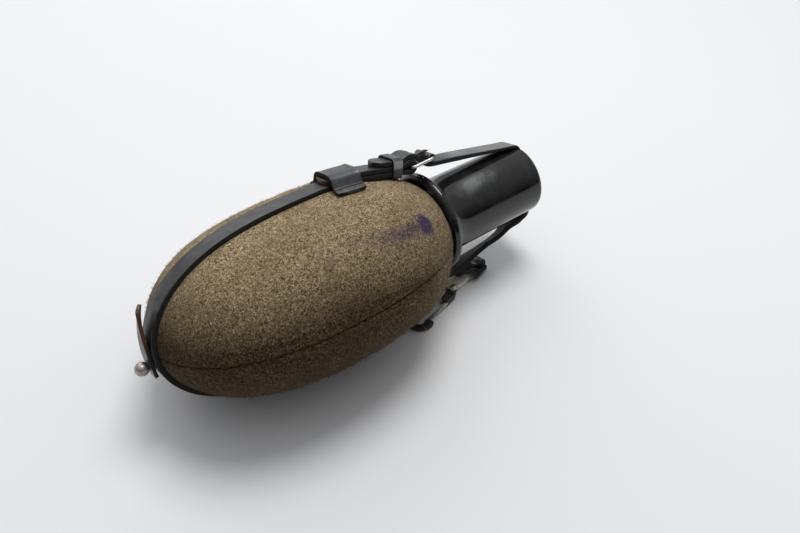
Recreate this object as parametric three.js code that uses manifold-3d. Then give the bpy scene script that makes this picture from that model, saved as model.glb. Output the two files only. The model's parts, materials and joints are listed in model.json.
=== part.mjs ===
// Field canteen: a felt-covered metal flask lying on its back strap, with a cup buckled over its neck.
// Millimetres, +Z up, +X from the flask's base to the cup. The floor is z = 0.
import * as THREE from 'three';
import { mergeVertices } from 'three/addons/utils/BufferGeometryUtils.js';
import Module from 'manifold-3d';

const wasm = await Module();
wasm.setup();

// Fits
const clearance = 0.3;

// Felt cover, which sets the outer form
const coverHalfWidth = 63.5;
const coverHalfDepth = 46;
const coverBaseLength = 90;
const coverStraightLength = 10;
const coverEnd = 178;
const basePower = 2.5;
const shoulderWidthPower = 1.68;
const shoulderDepthPower = 2.3;
const feltThickness = 3;
const collarRadius = 17;
const roundSegments = 36;
const baseStations = 9;
const shoulderStations = 9;

// Closing flap and press studs on the far side of the cover
const flapStart = 34;
const flapEnd = 148;
const flapReach = 14;
const flapRoot = 8;
const flapRootBite = 1;
const snapCount = 4;
const snapDrop = 5;
const snapEndMargin = 15;
const snapCapRadius = 6;
const snapCapHeight = 1.8;
const snapShankRadius = 2.2;

// Flask
const flaskWall = 1.6;
const neckLength = 22;
const neckBoreRadius = 11.5;

// Screw cap and its seal
const capWall = 3.3;
const capTopThickness = 3.4;
const capStandOff = 2;
const capChamfer = 1;
const sealThickness = 2.5;
const threadRoom = 0.6;

// Cup
const cupEnd = 250;
const cupRadius = 22;
const cupTaper = 0.7;
const cupWall = 2.3;
const cupFloor = 6;
const cupEndRounding = 3.5;
const cupRimRadius = 30.7;
const cupMouthRadius = 27.5;
const cupRimThickness = 5.6;
const cupFlareLength = 13;
const grooveSideRoom = 1;

// Leather strap
const strapWidth = 13;
const strapThickness = 2.8;
const layerPitch = strapThickness + clearance;

// Straight runs of the strap, off the felt on the front and on the back
const frontTangentSlope = 0.247;
const backTangentSlope = 0.147;
const foldBackStart = 112.5;
const lapRun = 25;
const lapLength = 21;
const lapRise = 10;
const backBowStation = 214;
const backBowDrop = 33;
const backBowMargin = 3;
const cupCornerRadius = 5;

// Buckle
const heelRun = 30;
const buckleLength = 14;
const buckleRise = 3.8;
const wireSize = 2.4;
const wireBevel = 0.6;
const buckleSideRoom = 0.8;
const rollerRadius = 2.3;
const rollerWall = 0.55;
const prongWidth = 2.6;
const prongEyeWall = 1.5;
const prongTipHeight = 1.5;
const prongTipReach = 1.5;
const prongRootTurn = THREE.MathUtils.degToRad(34);
const prongSlotRoom = 0.9;
const billetLength = 23.7;
const billetCrest = 2.4;
const billetRollerRun = 3;
const billetTaper = 6.6;
const foldTaper = 5.8;
const foldSteps = 7;

// Leather loops that hold the strap down
const feltKeeperStation = 123;
const feltKeeperLength = 18.5;
const feltKeeperThickness = 2;
const feltKeeperLean = 3;
const feltKeeperFoot = 5;
const buckleKeeperRun = 10.2;
const buckleKeeperLength = 6.4;
const buckleKeeperThickness = 1.3;

// Ball stud and buttoned tab at the base
const studDrop = 4;
const studBallRadius = 3.8;
const studNeckRadius = 1.9;
const studFootRadius = 3.6;
const studFootThickness = 0.8;
const tabThickness = 2;
const tabWidth = 10;
const tabUpperLength = 33;
const tabLowerLength = 10;
const tabTuck = 1.2;
const tabLean = 5.3;
const tabLeanPower = 2;
const tabTwist = THREE.MathUtils.degToRad(30);
const tabSteps = 6;

// Snap hook, lying on the floor under the back strap, with its gate to the near side
const hookHeading = THREE.MathUtils.degToRad(15.5);
const hookDip = THREE.MathUtils.degToRad(2.2);
const hookBarStation = 208.9;
const hookBarSide = -10.9;
const hookBarHeight = 4.6;
const hookThickness = 2.6;
const hookWire = 3.4;
const hookBowRadius = 8.7;
const hookBowCentre = 60;
const hookNoseReach = 2.5;
const hookNeckStart = 10.5;
const hookNeckTaper = 4;
const hookNeckHalf = 4.2;
const hookRootStation = 24;
const hookRootRun = 6;
const hookSpineStart = 36;
const hookCheek = 1;
const hookCheekStart = 21.5;
const hookCheekEnd = 30.3;
const hookCheekCorner = 2.5;
const eyeHalfWidth = 8.4;
const eyeSideRoom = 0.4;
const eyeCorner = 2.5;
const eyeWindowCorner = 1;
const gateStation = 27.5;
const gateSide = 1.5;
const gateKnuckle = 2.6;
const gateBlockStart = 3.9;
const gateBlockEnd = 13;
const gateBlockTop = 4.6;
const gateBlockFoot = 0.4;
const gateArm = 1.4;
const gateOverlap = 3;
const gateRivetRadius = 1.1;
const gateRivetHead = 2;
const gateRivetHeadHeight = 0.5;
const springThickness = 0.5;
const springStart = 2;
const springEnd = 11.5;

// Leather loop of the snap hook and its rivets
const loopWidth = 10;
const loopThickness = 2;
const loopStart = 187.5;
const loopBendStart = 199;
const loopTailStation = 195;
const loopRivetStation = 191.3;
const loopBendFrom = THREE.MathUtils.degToRad(95);
const loopBendTo = THREE.MathUtils.degToRad(-125);
const loopBendSteps = 6;
const loopRiseRun = 10.5;
const loopRise = 3.1;
const loopRivetRadius = 1.4;
const loopRivetHead = 2.8;
const loopRivetHeadHeight = 0.5;

// Materials
const felt = new THREE.MeshStandardMaterial({ color: 0x6b5f42, roughness: 1, metalness: 0 });
const leather = new THREE.MeshStandardMaterial({ color: 0x1d1a18, roughness: 0.55, metalness: 0 });
const steel = new THREE.MeshStandardMaterial({ color: 0x7d7c78, roughness: 0.4, metalness: 1 });
const blackSteel = new THREE.MeshStandardMaterial({ color: 0x1b1b1c, roughness: 0.45, metalness: 0.3 });
const brass = new THREE.MeshStandardMaterial({ color: 0xa5813f, roughness: 0.4, metalness: 1 });
const aluminium = new THREE.MeshStandardMaterial({ color: 0xa9aaa8, roughness: 0.45, metalness: 1 });
const blackPlastic = new THREE.MeshStandardMaterial({ color: 0x0d0d0e, roughness: 0.22, metalness: 0 });
const rubber = new THREE.MeshStandardMaterial({ color: 0x4a2a20, roughness: 0.8, metalness: 0 });

// Closed body from a row of ellipse rings [x, half width, half depth]; a ring of no size is a pole
function ringLoft(rings, segments, closed = false) {
  const points = [];
  const starts = rings.map(([x, halfWidth, halfDepth]) => {
    const start = points.length / 3;
    const count = halfWidth > 0 ? segments : 1;
    for (let i = 0; i < count; i += 1) {
      const angle = (2 * Math.PI * i) / segments;
      points.push(x, halfWidth * Math.cos(angle), halfDepth * Math.sin(angle));
    }
    return { start, count };
  });
  const faces = [];
  const last = closed ? rings.length : rings.length - 1;
  for (let k = 0; k < last; k += 1) {
    const near = starts[k];
    const far = starts[(k + 1) % rings.length];
    for (let i = 0; i < segments; i += 1) {
      const next = (i + 1) % segments;
      const a = near.start + (near.count > 1 ? i : 0);
      const b = near.start + (near.count > 1 ? next : 0);
      const c = far.start + (far.count > 1 ? i : 0);
      const d = far.start + (far.count > 1 ? next : 0);
      if (near.count > 1) faces.push(a, b, c);
      if (far.count > 1) faces.push(b, d, c);
    }
  }
  return indexedGeometry(points, faces);
}

function indexedGeometry(points, faces) {
  const geometry = new THREE.BufferGeometry();
  geometry.setAttribute('position', new THREE.Float32BufferAttribute(points, 3));
  geometry.setIndex(faces);
  return geometry;
}

// Turned body from [x, radius] points that start and end on the axis
function turned(profile, segments) {
  return ringLoft(profile.map(([x, radius]) => [x, radius, radius]), segments);
}

// Turned ring from [x, radius] points that close on themselves
function turnedRing(profile, segments) {
  return ringLoft(profile.map(([x, radius]) => [x, radius, radius]), segments, true);
}

// Strip of even thickness along a row of points, with a width direction at each point
function ribbon(path, widthDirections, width, thickness) {
  const points = [];
  const faces = [];
  path.forEach((point, i) => {
    const before = path[Math.max(i - 1, 0)];
    const after = path[Math.min(i + 1, path.length - 1)];
    const legIn = point.clone().sub(before).normalize();
    const legOut = after.clone().sub(point).normalize();
    const tangent = legIn.clone().add(legOut).normalize();
    const across = widthDirections[i];
    const normal = new THREE.Vector3().crossVectors(tangent, across).normalize();
    const mitre = legIn.lengthSq() > 0 && legOut.lengthSq() > 0 ? tangent.dot(legOut) : 1;
    const half = thickness / 2 / mitre;
    for (const [side, face] of [[-1, -1], [1, -1], [1, 1], [-1, 1]]) {
      const corner = point.clone()
        .addScaledVector(across, (side * width) / 2)
        .addScaledVector(normal, face * half);
      points.push(corner.x, corner.y, corner.z);
    }
  });
  for (let i = 0; i + 1 < path.length; i += 1) {
    for (let k = 0; k < 4; k += 1) {
      const a = 4 * i + k;
      const b = 4 * i + ((k + 1) % 4);
      faces.push(a, b, a + 4, b, b + 4, a + 4);
    }
  }
  const end = 4 * (path.length - 1);
  faces.push(0, 2, 1, 0, 3, 2, end, end + 1, end + 2, end, end + 2, end + 3);
  return indexedGeometry(points, faces);
}

// Flat plate of a given thickness, centred on the drawing plane
function plate(shape, thickness, curveSegments = 10) {
  const geometry = new THREE.ExtrudeGeometry(shape, {
    depth: thickness, bevelEnabled: false, curveSegments,
  });
  return geometry.translate(0, 0, -thickness / 2);
}

function roundedRectangle(path, lowX, lowY, highX, highY, radius) {
  path.moveTo(lowX + radius, lowY);
  path.lineTo(highX - radius, lowY);
  path.absarc(highX - radius, lowY + radius, radius, -Math.PI / 2, 0);
  path.lineTo(highX, highY - radius);
  path.absarc(highX - radius, highY - radius, radius, 0, Math.PI / 2);
  path.lineTo(lowX + radius, highY);
  path.absarc(lowX + radius, highY - radius, radius, Math.PI / 2, Math.PI);
  path.lineTo(lowX, lowY + radius);
  path.absarc(lowX + radius, lowY + radius, radius, Math.PI, 1.5 * Math.PI);
  return path;
}

function block(low, high) {
  const size = new THREE.Vector3().subVectors(high, low);
  const middle = new THREE.Vector3().addVectors(low, high).multiplyScalar(0.5);
  return new THREE.BoxGeometry(size.x, size.y, size.z).translate(middle.x, middle.y, middle.z);
}

// Solid of a geometry, for cutting and joining
function solid(geometry) {
  const bare = geometry.clone();
  bare.deleteAttribute('normal');
  bare.deleteAttribute('uv');
  const welded = mergeVertices(bare, 1e-4);
  return new wasm.Manifold(new wasm.Mesh({
    numProp: 3,
    vertProperties: new Float32Array(welded.attributes.position.array),
    triVerts: new Uint32Array(welded.index.array),
  }));
}

function geometryOf(body) {
  const mesh = body.getMesh();
  return indexedGeometry(Array.from(mesh.vertProperties), Array.from(mesh.triVerts));
}

function piece(name, geometry, material) {
  const faceted = geometry.index ? geometry.toNonIndexed() : geometry;
  faceted.computeVertexNormals();
  const mesh = new THREE.Mesh(faceted, material);
  mesh.name = name;
  return mesh;
}

// Outer form: where the cover's skin lies across its width or its depth, moved inwards by an inset
const shoulderStart = coverBaseLength + coverStraightLength;
const acrossWidth = { half: coverHalfWidth, shoulderPower: shoulderWidthPower };
const acrossDepth = { half: coverHalfDepth, shoulderPower: shoulderDepthPower };

function formRadius(x, across, inset) {
  const half = across.half - inset;
  const collar = collarRadius - inset;
  if (x < coverBaseLength) {
    const rest = 1 - (x - inset) / (coverBaseLength - inset);
    return half * Math.sqrt(1 - rest ** basePower);
  }
  if (x <= shoulderStart) return half;
  const along = (x - shoulderStart) / (coverEnd - inset - shoulderStart);
  const fall = Math.max(0, 1 - along ** across.shoulderPower);
  return Math.sqrt(collar ** 2 + (half ** 2 - collar ** 2) * fall);
}

function formStations(inset) {
  const stations = [];
  for (let i = 0; i <= baseStations; i += 1) {
    const turn = (Math.PI / 2) * (i / baseStations);
    stations.push(inset + (coverBaseLength - inset) * (1 - Math.cos(turn)));
  }
  for (let i = 0; i <= shoulderStations; i += 1) {
    const turn = (Math.PI / 2) * (i / shoulderStations);
    stations.push(shoulderStart + (coverEnd - inset - shoulderStart) * Math.sin(turn));
  }
  return stations;
}

function formRings(inset) {
  return formStations(inset).map((x, i) => (i === 0
    ? [x, 0, 0]
    : [x, formRadius(x, acrossWidth, inset), formRadius(x, acrossDepth, inset)]));
}

// Wall between two insets, open at the neck
function formShell(outerInset, innerInset) {
  const inner = formRings(innerInset);
  const bore = collarRadius - innerInset;
  return ringLoft([...formRings(outerInset), [coverEnd - outerInset, bore, bore], ...inner.reverse()],
    roundSegments);
}

// Slope of the form's front line, as drop per length
function formSlope(x) {
  const step = 0.05;
  const low = formRadius(x - step, acrossDepth, 0);
  return (low - formRadius(x + step, acrossDepth, 0)) / (2 * step);
}

// Station on the shoulder where the front line has a given slope
function tangentStation(slope) {
  let low = shoulderStart;
  let high = coverEnd - feltThickness;
  for (let i = 0; i < 40; i += 1) {
    const middle = (low + high) / 2;
    if (formSlope(middle) < slope) low = middle;
    else high = middle;
  }
  return (low + high) / 2;
}

// Flask: a shell with a plain neck, open at the mouth
const flaskInset = feltThickness + clearance;
const neckRadius = collarRadius - flaskInset;
const neckStart = coverEnd - flaskInset;
const mouthStation = neckStart + neckLength;
const flaskInner = formRings(flaskInset + flaskWall);
flaskInner[flaskInner.length - 1] = [coverEnd - flaskInset - flaskWall, neckBoreRadius, neckBoreRadius];
const flask = piece('flask', ringLoft([
  ...formRings(flaskInset),
  [mouthStation, neckRadius, neckRadius],
  [mouthStation, neckBoreRadius, neckBoreRadius],
  ...flaskInner.reverse(),
], roundSegments), aluminium);

// Seal and screw cap over the mouth
const sealStart = mouthStation + clearance;
const sealEnd = sealStart + sealThickness;
const capBore = neckRadius + threadRoom;
const capRadius = capBore + capWall;
const capStart = coverEnd + capStandOff;
const capEnd = sealEnd + clearance + capTopThickness;
const capSeal = piece('cap_seal', turned([
  [sealStart, 0],
  [sealStart, neckRadius],
  [sealEnd, neckRadius],
  [sealEnd, 0],
], roundSegments), rubber);
const screwCap = piece('screw_cap', turned([
  [sealEnd + clearance, 0],
  [sealEnd + clearance, capBore],
  [capStart, capBore],
  [capStart, capRadius],
  [capEnd - capChamfer, capRadius],
  [capEnd, capRadius - capChamfer],
  [capEnd, 0],
], roundSegments), aluminium);

// Cup, mouth down on the felt shoulder
function stationOfHalfWidth(radius) {
  let low = shoulderStart;
  let high = coverEnd;
  for (let i = 0; i < 40; i += 1) {
    const middle = (low + high) / 2;
    if (formRadius(middle, acrossWidth, 0) > radius) low = middle;
    else high = middle;
  }
  return (low + high) / 2;
}

const cupMouth = stationOfHalfWidth(cupMouthRadius) + clearance;
const rimRound = cupRimThickness / 2;
const rimCentre = cupRimRadius - rimRound;
const flareTop = cupMouth + cupRimThickness + cupFlareLength;
const cupRootRadius = cupRadius + cupTaper;
const cupOuter = [[cupEnd, 0]];
for (let i = 0; i <= 3; i += 1) {
  const turn = (Math.PI / 2) * (i / 3);
  cupOuter.push([
    cupEnd - cupEndRounding * (1 - Math.cos(turn)),
    cupRadius - cupEndRounding * (1 - Math.sin(turn)),
  ]);
}
for (let i = 0; i <= 4; i += 1) {
  const turn = (Math.PI / 2) * (i / 4);
  cupOuter.push([
    flareTop - cupFlareLength * Math.sin(turn),
    rimCentre - (rimCentre - cupRootRadius) * Math.cos(turn),
  ]);
}
for (let i = 1; i <= 5; i += 1) {
  const turn = Math.PI / 2 - (Math.PI * i) / 5;
  cupOuter.push([
    cupMouth + rimRound + rimRound * Math.sin(turn),
    rimCentre + rimRound * Math.cos(turn),
  ]);
}
const cupInner = [[cupMouth, cupMouthRadius]];
for (let i = 1; i <= 4; i += 1) {
  const turn = (Math.PI / 2) * (i / 4);
  cupInner.push([
    cupMouth + (flareTop - cupMouth) * Math.sin(turn),
    cupRootRadius - cupWall + (cupMouthRadius - cupRootRadius + cupWall) * (1 - Math.sin(turn)),
  ]);
}
cupInner.push([cupEnd - cupFloor, cupRadius - cupWall], [cupEnd - cupFloor, 0]);
const cupBody = solid(turned([...cupOuter, ...cupInner].reverse(), roundSegments));
const grooveDepth = strapThickness + 2 * clearance;
const grooveHalf = strapWidth / 2 + grooveSideRoom;
const grooveCorner = cupCornerRadius - strapThickness / 2 - clearance;
const grooveFloor = solid(plate(roundedRectangle(new THREE.Shape(),
  0, -cupRootRadius, cupEnd - grooveDepth, cupRootRadius, grooveCorner), 4 * grooveHalf, 4)
  .rotateX(Math.PI / 2));
const grooveCut = solid(block(
  new THREE.Vector3(cupEnd - grooveDepth - grooveCorner, -grooveHalf, -2 * cupRadius),
  new THREE.Vector3(cupEnd + grooveDepth, grooveHalf, 2 * cupRadius),
)).subtract(grooveFloor);
const cup = piece('cup', geometryOf(cupBody.subtract(grooveCut)), blackPlastic);

// Felt cover in two panels: a sewn seam on the near side, a flap with press studs on the far side
const farOut = 2 * coverHalfWidth;
function slab(lowX, highX, lowY, lowZ, highZ) {
  return solid(block(new THREE.Vector3(lowX, lowY, lowZ), new THREE.Vector3(highX, farOut, highZ)));
}

const coverWall = solid(formShell(0, feltThickness));
const frontHalf = slab(-farOut, 2 * coverEnd, -farOut, clearance / 2, farOut);
const backHalf = slab(-farOut, 2 * coverEnd, -farOut, -farOut, -clearance / 2);
const flapOuter = -clearance - feltThickness;
const flapOver = solid(formShell(flapOuter, -clearance))
  .intersect(slab(flapStart, flapEnd, 0, -flapReach, 2 * clearance));
const flapJoin = solid(formShell(flapOuter, flapRootBite))
  .intersect(slab(flapStart, flapEnd, 0, clearance, flapRoot));
let frontPanel = coverWall.intersect(frontHalf).add(flapOver).add(flapJoin);

// Press studs: a domed cap on the flap, its shank through a hole in the flap
function formPoint(x, depth, inset) {
  const halfDepth = formRadius(x, acrossDepth, inset);
  const side = formRadius(x, acrossWidth, inset) * Math.sqrt(1 - (depth / halfDepth) ** 2);
  return new THREE.Vector3(x, side, depth);
}

function formNormal(x, depth, inset) {
  const step = 0.5;
  const lengthwise = formPoint(x + step, depth, inset).sub(formPoint(x - step, depth, inset));
  const upwards = formPoint(x, depth + step, inset).sub(formPoint(x, depth - step, inset));
  return upwards.cross(lengthwise).normalize();
}

const coverSnaps = [];
for (let i = 0; i < snapCount; i += 1) {
  const span = flapEnd - flapStart - 2 * snapEndMargin;
  const x = flapStart + snapEndMargin + (span * i) / (snapCount - 1);
  const foot = formPoint(x, -snapDrop, flapOuter);
  const outward = formNormal(x, -snapDrop, flapOuter);
  const stand = new THREE.Matrix4().compose(
    foot,
    new THREE.Quaternion().setFromUnitVectors(new THREE.Vector3(1, 0, 0), outward),
    new THREE.Vector3(1, 1, 1),
  );
  const shankEnd = -feltThickness + clearance;
  coverSnaps.push(piece(`cover_snap_${i + 1}`, turned([
    [shankEnd, 0],
    [shankEnd, snapShankRadius],
    [clearance, snapShankRadius],
    [clearance, snapCapRadius],
    [clearance + snapCapHeight / 2, snapCapRadius],
    [clearance + snapCapHeight, snapCapRadius / 2],
    [clearance + snapCapHeight, 0],
  ], 16).applyMatrix4(stand), blackSteel));
  const holeRadius = snapShankRadius + clearance;
  frontPanel = frontPanel.subtract(solid(turned([
    [-feltThickness - 2 * clearance, 0],
    [-feltThickness - 2 * clearance, holeRadius],
    [feltThickness, holeRadius],
    [feltThickness, 0],
  ], 12).applyMatrix4(stand)));
}
const feltFront = piece('felt_front', geometryOf(frontPanel), felt);
const feltBack = piece('felt_back', geometryOf(coverWall.intersect(backHalf)), felt);

// Strap lines in the middle plane, as [x, z] points
const sideways = new THREE.Vector3(0, 1, 0);
const skinOffset = clearance + strapThickness / 2;
const frontLeave = tangentStation(frontTangentSlope);
const backLeave = tangentStation(backTangentSlope);

// Point off the felt's front line, at a height above the skin
function overFront(x, height) {
  const slope = formSlope(x);
  const scale = height / Math.hypot(1, slope);
  return [x + slope * scale, formRadius(x, acrossDepth, 0) + scale];
}

const frontStart = overFront(frontLeave, skinOffset);
const frontTilt = Math.atan(frontTangentSlope);

// Point on the straight front run: along it from the heel bar, and above the lower layer's middle
function onFrontRun(along, height) {
  const run = heelRun + along;
  return [
    frontStart[0] + run * Math.cos(frontTilt) + height * Math.sin(frontTilt),
    frontStart[1] - run * Math.sin(frontTilt) + height * Math.cos(frontTilt),
  ];
}

function midPlane(points) {
  return points.map(([x, z]) => new THREE.Vector3(x, 0, z));
}

function strip(points, width, thickness) {
  const path = midPlane(points);
  return ribbon(path, path.map(() => sideways), width, thickness);
}

// Harness strap: folded round the heel bar, down the front, round the base and up the back
const foldRadius = wireSize / 2 + clearance + strapThickness / 2;
const harnessLine = [];
const coverStations = formStations(0);
const layerStations = coverStations.filter((x) => x > foldBackStart && x < frontLeave);
for (const x of [foldBackStart, ...layerStations, frontLeave]) {
  harnessLine.push(overFront(x, skinOffset + layerPitch));
}
harnessLine.push(onFrontRun(-2 * foldTaper, layerPitch), onFrontRun(-foldTaper, layerPitch));
const foldLeg = Math.hypot(foldTaper, layerPitch - foldRadius);
const foldFrom = Math.atan2(layerPitch - foldRadius, -foldTaper) - Math.acos(foldRadius / foldLeg);
for (let i = 0; i <= foldSteps; i += 1) {
  const turn = THREE.MathUtils.lerp(foldFrom, -Math.PI / 2, i / foldSteps);
  harnessLine.push(onFrontRun(foldRadius * Math.cos(turn), foldRadius * (1 + Math.sin(turn))));
}
harnessLine.push(onFrontRun(-foldTaper, 0), frontStart);
const frontStations = coverStations.filter((x) => x > 0 && x < frontLeave - 1);
for (const x of [...frontStations].reverse()) {
  harnessLine.push(overFront(x, skinOffset));
}
harnessLine.push([-skinOffset, 0]);
for (const x of coverStations.filter((station) => station > 0 && station < backLeave - 1)) {
  const [along, height] = overFront(x, skinOffset);
  harnessLine.push([along, -height]);
}
const [backX, backHeight] = overFront(backLeave, skinOffset);
const lapStart = backX + lapRun;
const lapEnd = lapStart + lapLength;

// Height of the straight back run under the flask's axis
function backRun(x) {
  return -(backHeight - backTangentSlope * (x - backX));
}
harnessLine.push([backX, -backHeight], [lapEnd, backRun(lapEnd)]);
let harness = solid(strip(harnessLine, strapWidth, strapThickness));

// Cup strap: lapped inside the back run, bowed out to the cup, over its end, and on to the billet tip
const billetLift = 2 * foldRadius + layerPitch;
const rollerAlong = buckleLength;
const rollerHeight = foldRadius + buckleRise;
const underRoller = rollerHeight - rollerRadius - clearance - strapThickness / 2;
const cornerMiddle = cupEnd - clearance - strapThickness / 2 - cupCornerRadius;
const cornerHeight = cupRadius + cupTaper + clearance + strapThickness / 2 - cupCornerRadius;
const cupLine = [
  [lapStart, backRun(lapStart) + layerPitch],
  [lapEnd, backRun(lapEnd) + layerPitch],
  [lapEnd + lapRise, backRun(lapEnd + lapRise)],
  [loopBendStart, backRun(loopBendStart)],
];
for (let i = 1; i <= 4; i += 1) {
  const share = i / 4;
  const x = loopBendStart + (backBowStation - loopBendStart) * share;
  cupLine.push([x, backRun(loopBendStart) * (1 - share) - backBowDrop * share]);
}
const bowEnd = cornerMiddle - backBowMargin;
for (let i = 1; i <= 4; i += 1) {
  const share = i / 5;
  const x = backBowStation + (bowEnd - backBowStation) * share;
  cupLine.push([x, -backBowDrop + (backBowDrop - cornerHeight - cupCornerRadius) * share ** 2]);
}
for (let i = 0; i <= 4; i += 1) {
  const turn = -Math.PI / 2 + ((Math.PI / 2) * i) / 4;
  cupLine.push([
    cornerMiddle + cupCornerRadius * Math.cos(turn),
    -cornerHeight + cupCornerRadius * Math.sin(turn),
  ]);
}
const [rollerX, rollerZ] = onFrontRun(rollerAlong + billetRollerRun, underRoller);
const cupLeave = Math.atan2(rollerZ - cornerHeight - cupCornerRadius, cornerMiddle - rollerX);
for (let i = 0; i <= 4; i += 1) {
  const turn = ((Math.PI / 2 - cupLeave) * i) / 4;
  cupLine.push([
    cornerMiddle + cupCornerRadius * Math.cos(turn),
    cornerHeight + cupCornerRadius * Math.sin(turn),
  ]);
}
cupLine.push(
  [rollerX, rollerZ],
  onFrontRun(rollerAlong - billetRollerRun, underRoller),
  onFrontRun(billetCrest, billetLift),
  onFrontRun(-billetCrest, billetLift),
  onFrontRun(-billetTaper, 2 * layerPitch),
  onFrontRun(-billetLength, 2 * layerPitch),
);
let cupStrapBody = solid(strip(cupLine, strapWidth, strapThickness));

// Buckle frame in its own group: origin on the heel bar, x towards the cup, z off the strap
const buckle = new THREE.Group();
const [heelX, heelZ] = onFrontRun(0, foldRadius);
const frameTilt = Math.atan2(buckleRise, buckleLength);
const frameReach = Math.hypot(buckleLength, buckleRise);
buckle.position.set(heelX, 0, heelZ);
buckle.rotation.y = frontTilt - frameTilt;
const windowHalf = strapWidth / 2 + buckleSideRoom;
const wireInner = wireSize / 2;
const frameOutline = roundedRectangle(new THREE.Shape(),
  -wireInner + wireBevel, -windowHalf - wireSize + wireBevel,
  frameReach + wireInner - wireBevel, windowHalf + wireSize - wireBevel, wireSize);
const frameWindow = roundedRectangle(new THREE.Path(),
  wireInner - wireBevel, -windowHalf - wireBevel,
  frameReach - wireInner + wireBevel, windowHalf + wireBevel, wireBevel);
frameOutline.holes.push(frameWindow);
const frameGeometry = new THREE.ExtrudeGeometry(frameOutline, {
  depth: wireSize - 2 * wireBevel,
  bevelEnabled: true,
  bevelThickness: wireBevel,
  bevelSize: wireBevel,
  bevelSegments: 1,
  curveSegments: 5,
}).translate(0, 0, wireBevel - wireSize / 2);
const buckleFrame = piece('buckle_frame', frameGeometry, steel);

// Roller on the frame's far bar
const rollerBore = rollerRadius - rollerWall;
const rollerHalf = windowHalf - clearance;
const rollerGroup = new THREE.Group();
rollerGroup.position.x = frameReach;
const buckleRoller = piece('buckle_roller', turnedRing([
  [-rollerHalf, rollerBore],
  [-rollerHalf, rollerRadius],
  [rollerHalf, rollerRadius],
  [rollerHalf, rollerBore],
], 20).rotateZ(Math.PI / 2), steel);
rollerGroup.add(buckleRoller);

// Prong: an eye on the heel bar and a tapered tongue over the roller
const eyeBore = Math.hypot(wireSize / 2, wireSize / 2 - wireBevel) + clearance;
const eyeOuter = eyeBore + prongEyeWall;
const tongueEnd = frameReach + rollerRadius + prongTipReach;
const tongueLow = rollerRadius + clearance;
const tongueTilt = Math.atan2(tongueLow, frameReach);
const prongOutline = new THREE.Shape();
prongOutline.absarc(0, 0, eyeOuter, Math.PI / 2 + tongueTilt, 2 * Math.PI - prongRootTurn);
prongOutline.lineTo(frameReach - 2 * rollerRadius, tongueLow - prongTipHeight / 2);
prongOutline.lineTo(frameReach - rollerRadius / 2, tongueLow);
prongOutline.lineTo(tongueEnd, tongueLow);
prongOutline.lineTo(tongueEnd, tongueLow + prongTipHeight / 2);
prongOutline.lineTo(frameReach, tongueLow + prongTipHeight);
prongOutline.closePath();
const prongEye = new THREE.Path();
prongEye.absarc(0, 0, eyeBore, 0, 2 * Math.PI, true);
prongOutline.holes.push(prongEye);
const buckleProng = piece('buckle_prong', plate(prongOutline, prongWidth).rotateX(Math.PI / 2), steel);
buckle.add(buckleFrame, rollerGroup, buckleProng);

// Slots for the prong in the fold and in the billet
const slotHalf = prongWidth / 2 + prongSlotRoom;
function runBlock(lowAlong, highAlong, lowHeight, highHeight, halfWidth) {
  const [x, z] = onFrontRun(0, 0);
  return solid(block(
    new THREE.Vector3(lowAlong, -halfWidth, lowHeight),
    new THREE.Vector3(highAlong, halfWidth, highHeight),
  ).rotateY(frontTilt).translate(x, 0, z));
}
const eyeRoom = eyeOuter + clearance;
harness = harness.subtract(
  runBlock(-eyeRoom, 2 * eyeRoom, foldRadius - eyeRoom, foldRadius + 3 * eyeRoom, slotHalf));
cupStrapBody = cupStrapBody.subtract(
  runBlock(eyeOuter / 2, buckleLength - rollerRadius, underRoller - strapThickness,
    billetLift + strapThickness, slotHalf));

// Felt keeper: a leather band over two strap layers, with feet sewn to the felt
const keeperSlope = formSlope(feltKeeperStation);
const keeperInside = clearance + 2 * layerPitch;
const keeperHalf = strapWidth / 2 + clearance;
const keeperTop = keeperInside + feltKeeperThickness;
const crownRadius = coverHalfWidth ** 2 / coverHalfDepth;
function crownDrop(side) {
  return side ** 2 / (2 * crownRadius);
}
const legFoot = keeperHalf + feltKeeperLean;
const legMitre = feltKeeperThickness * Math.tan(Math.atan2(keeperInside - clearance, feltKeeperLean) / 2);
const footStep = legFoot + legMitre;
const footEnd = footStep + feltKeeperFoot;
const crownCorner = keeperHalf + legMitre;
function overFelt(side, height) {
  return [side, clearance + height - crownDrop(side)];
}
const keeperOutline = new THREE.Shape();
keeperOutline.moveTo(...overFelt(-footEnd, 0));
keeperOutline.lineTo(...overFelt(-legFoot, 0));
keeperOutline.lineTo(-keeperHalf, keeperInside);
keeperOutline.lineTo(keeperHalf, keeperInside);
keeperOutline.lineTo(...overFelt(legFoot, 0));
keeperOutline.lineTo(...overFelt(footEnd, 0));
keeperOutline.lineTo(...overFelt(footEnd, feltKeeperThickness));
keeperOutline.lineTo(...overFelt(footStep, feltKeeperThickness));
keeperOutline.quadraticCurveTo(crownCorner, keeperTop, keeperHalf / 2, keeperTop);
keeperOutline.lineTo(-keeperHalf / 2, keeperTop);
keeperOutline.quadraticCurveTo(-crownCorner, keeperTop, ...overFelt(-footStep, feltKeeperThickness));
keeperOutline.lineTo(...overFelt(-footEnd, feltKeeperThickness));
keeperOutline.closePath();

// Drawing plane turned so that its x is sideways, its y up and its depth along the strap
function acrossStrap(geometry) {
  return geometry.rotateX(Math.PI / 2).rotateZ(Math.PI / 2);
}
const feltKeeper = piece('felt_keeper',
  acrossStrap(plate(keeperOutline, feltKeeperLength, 4))
    .rotateY(Math.atan(keeperSlope))
    .translate(feltKeeperStation, 0, formRadius(feltKeeperStation, acrossDepth, 0)), leather);

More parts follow.
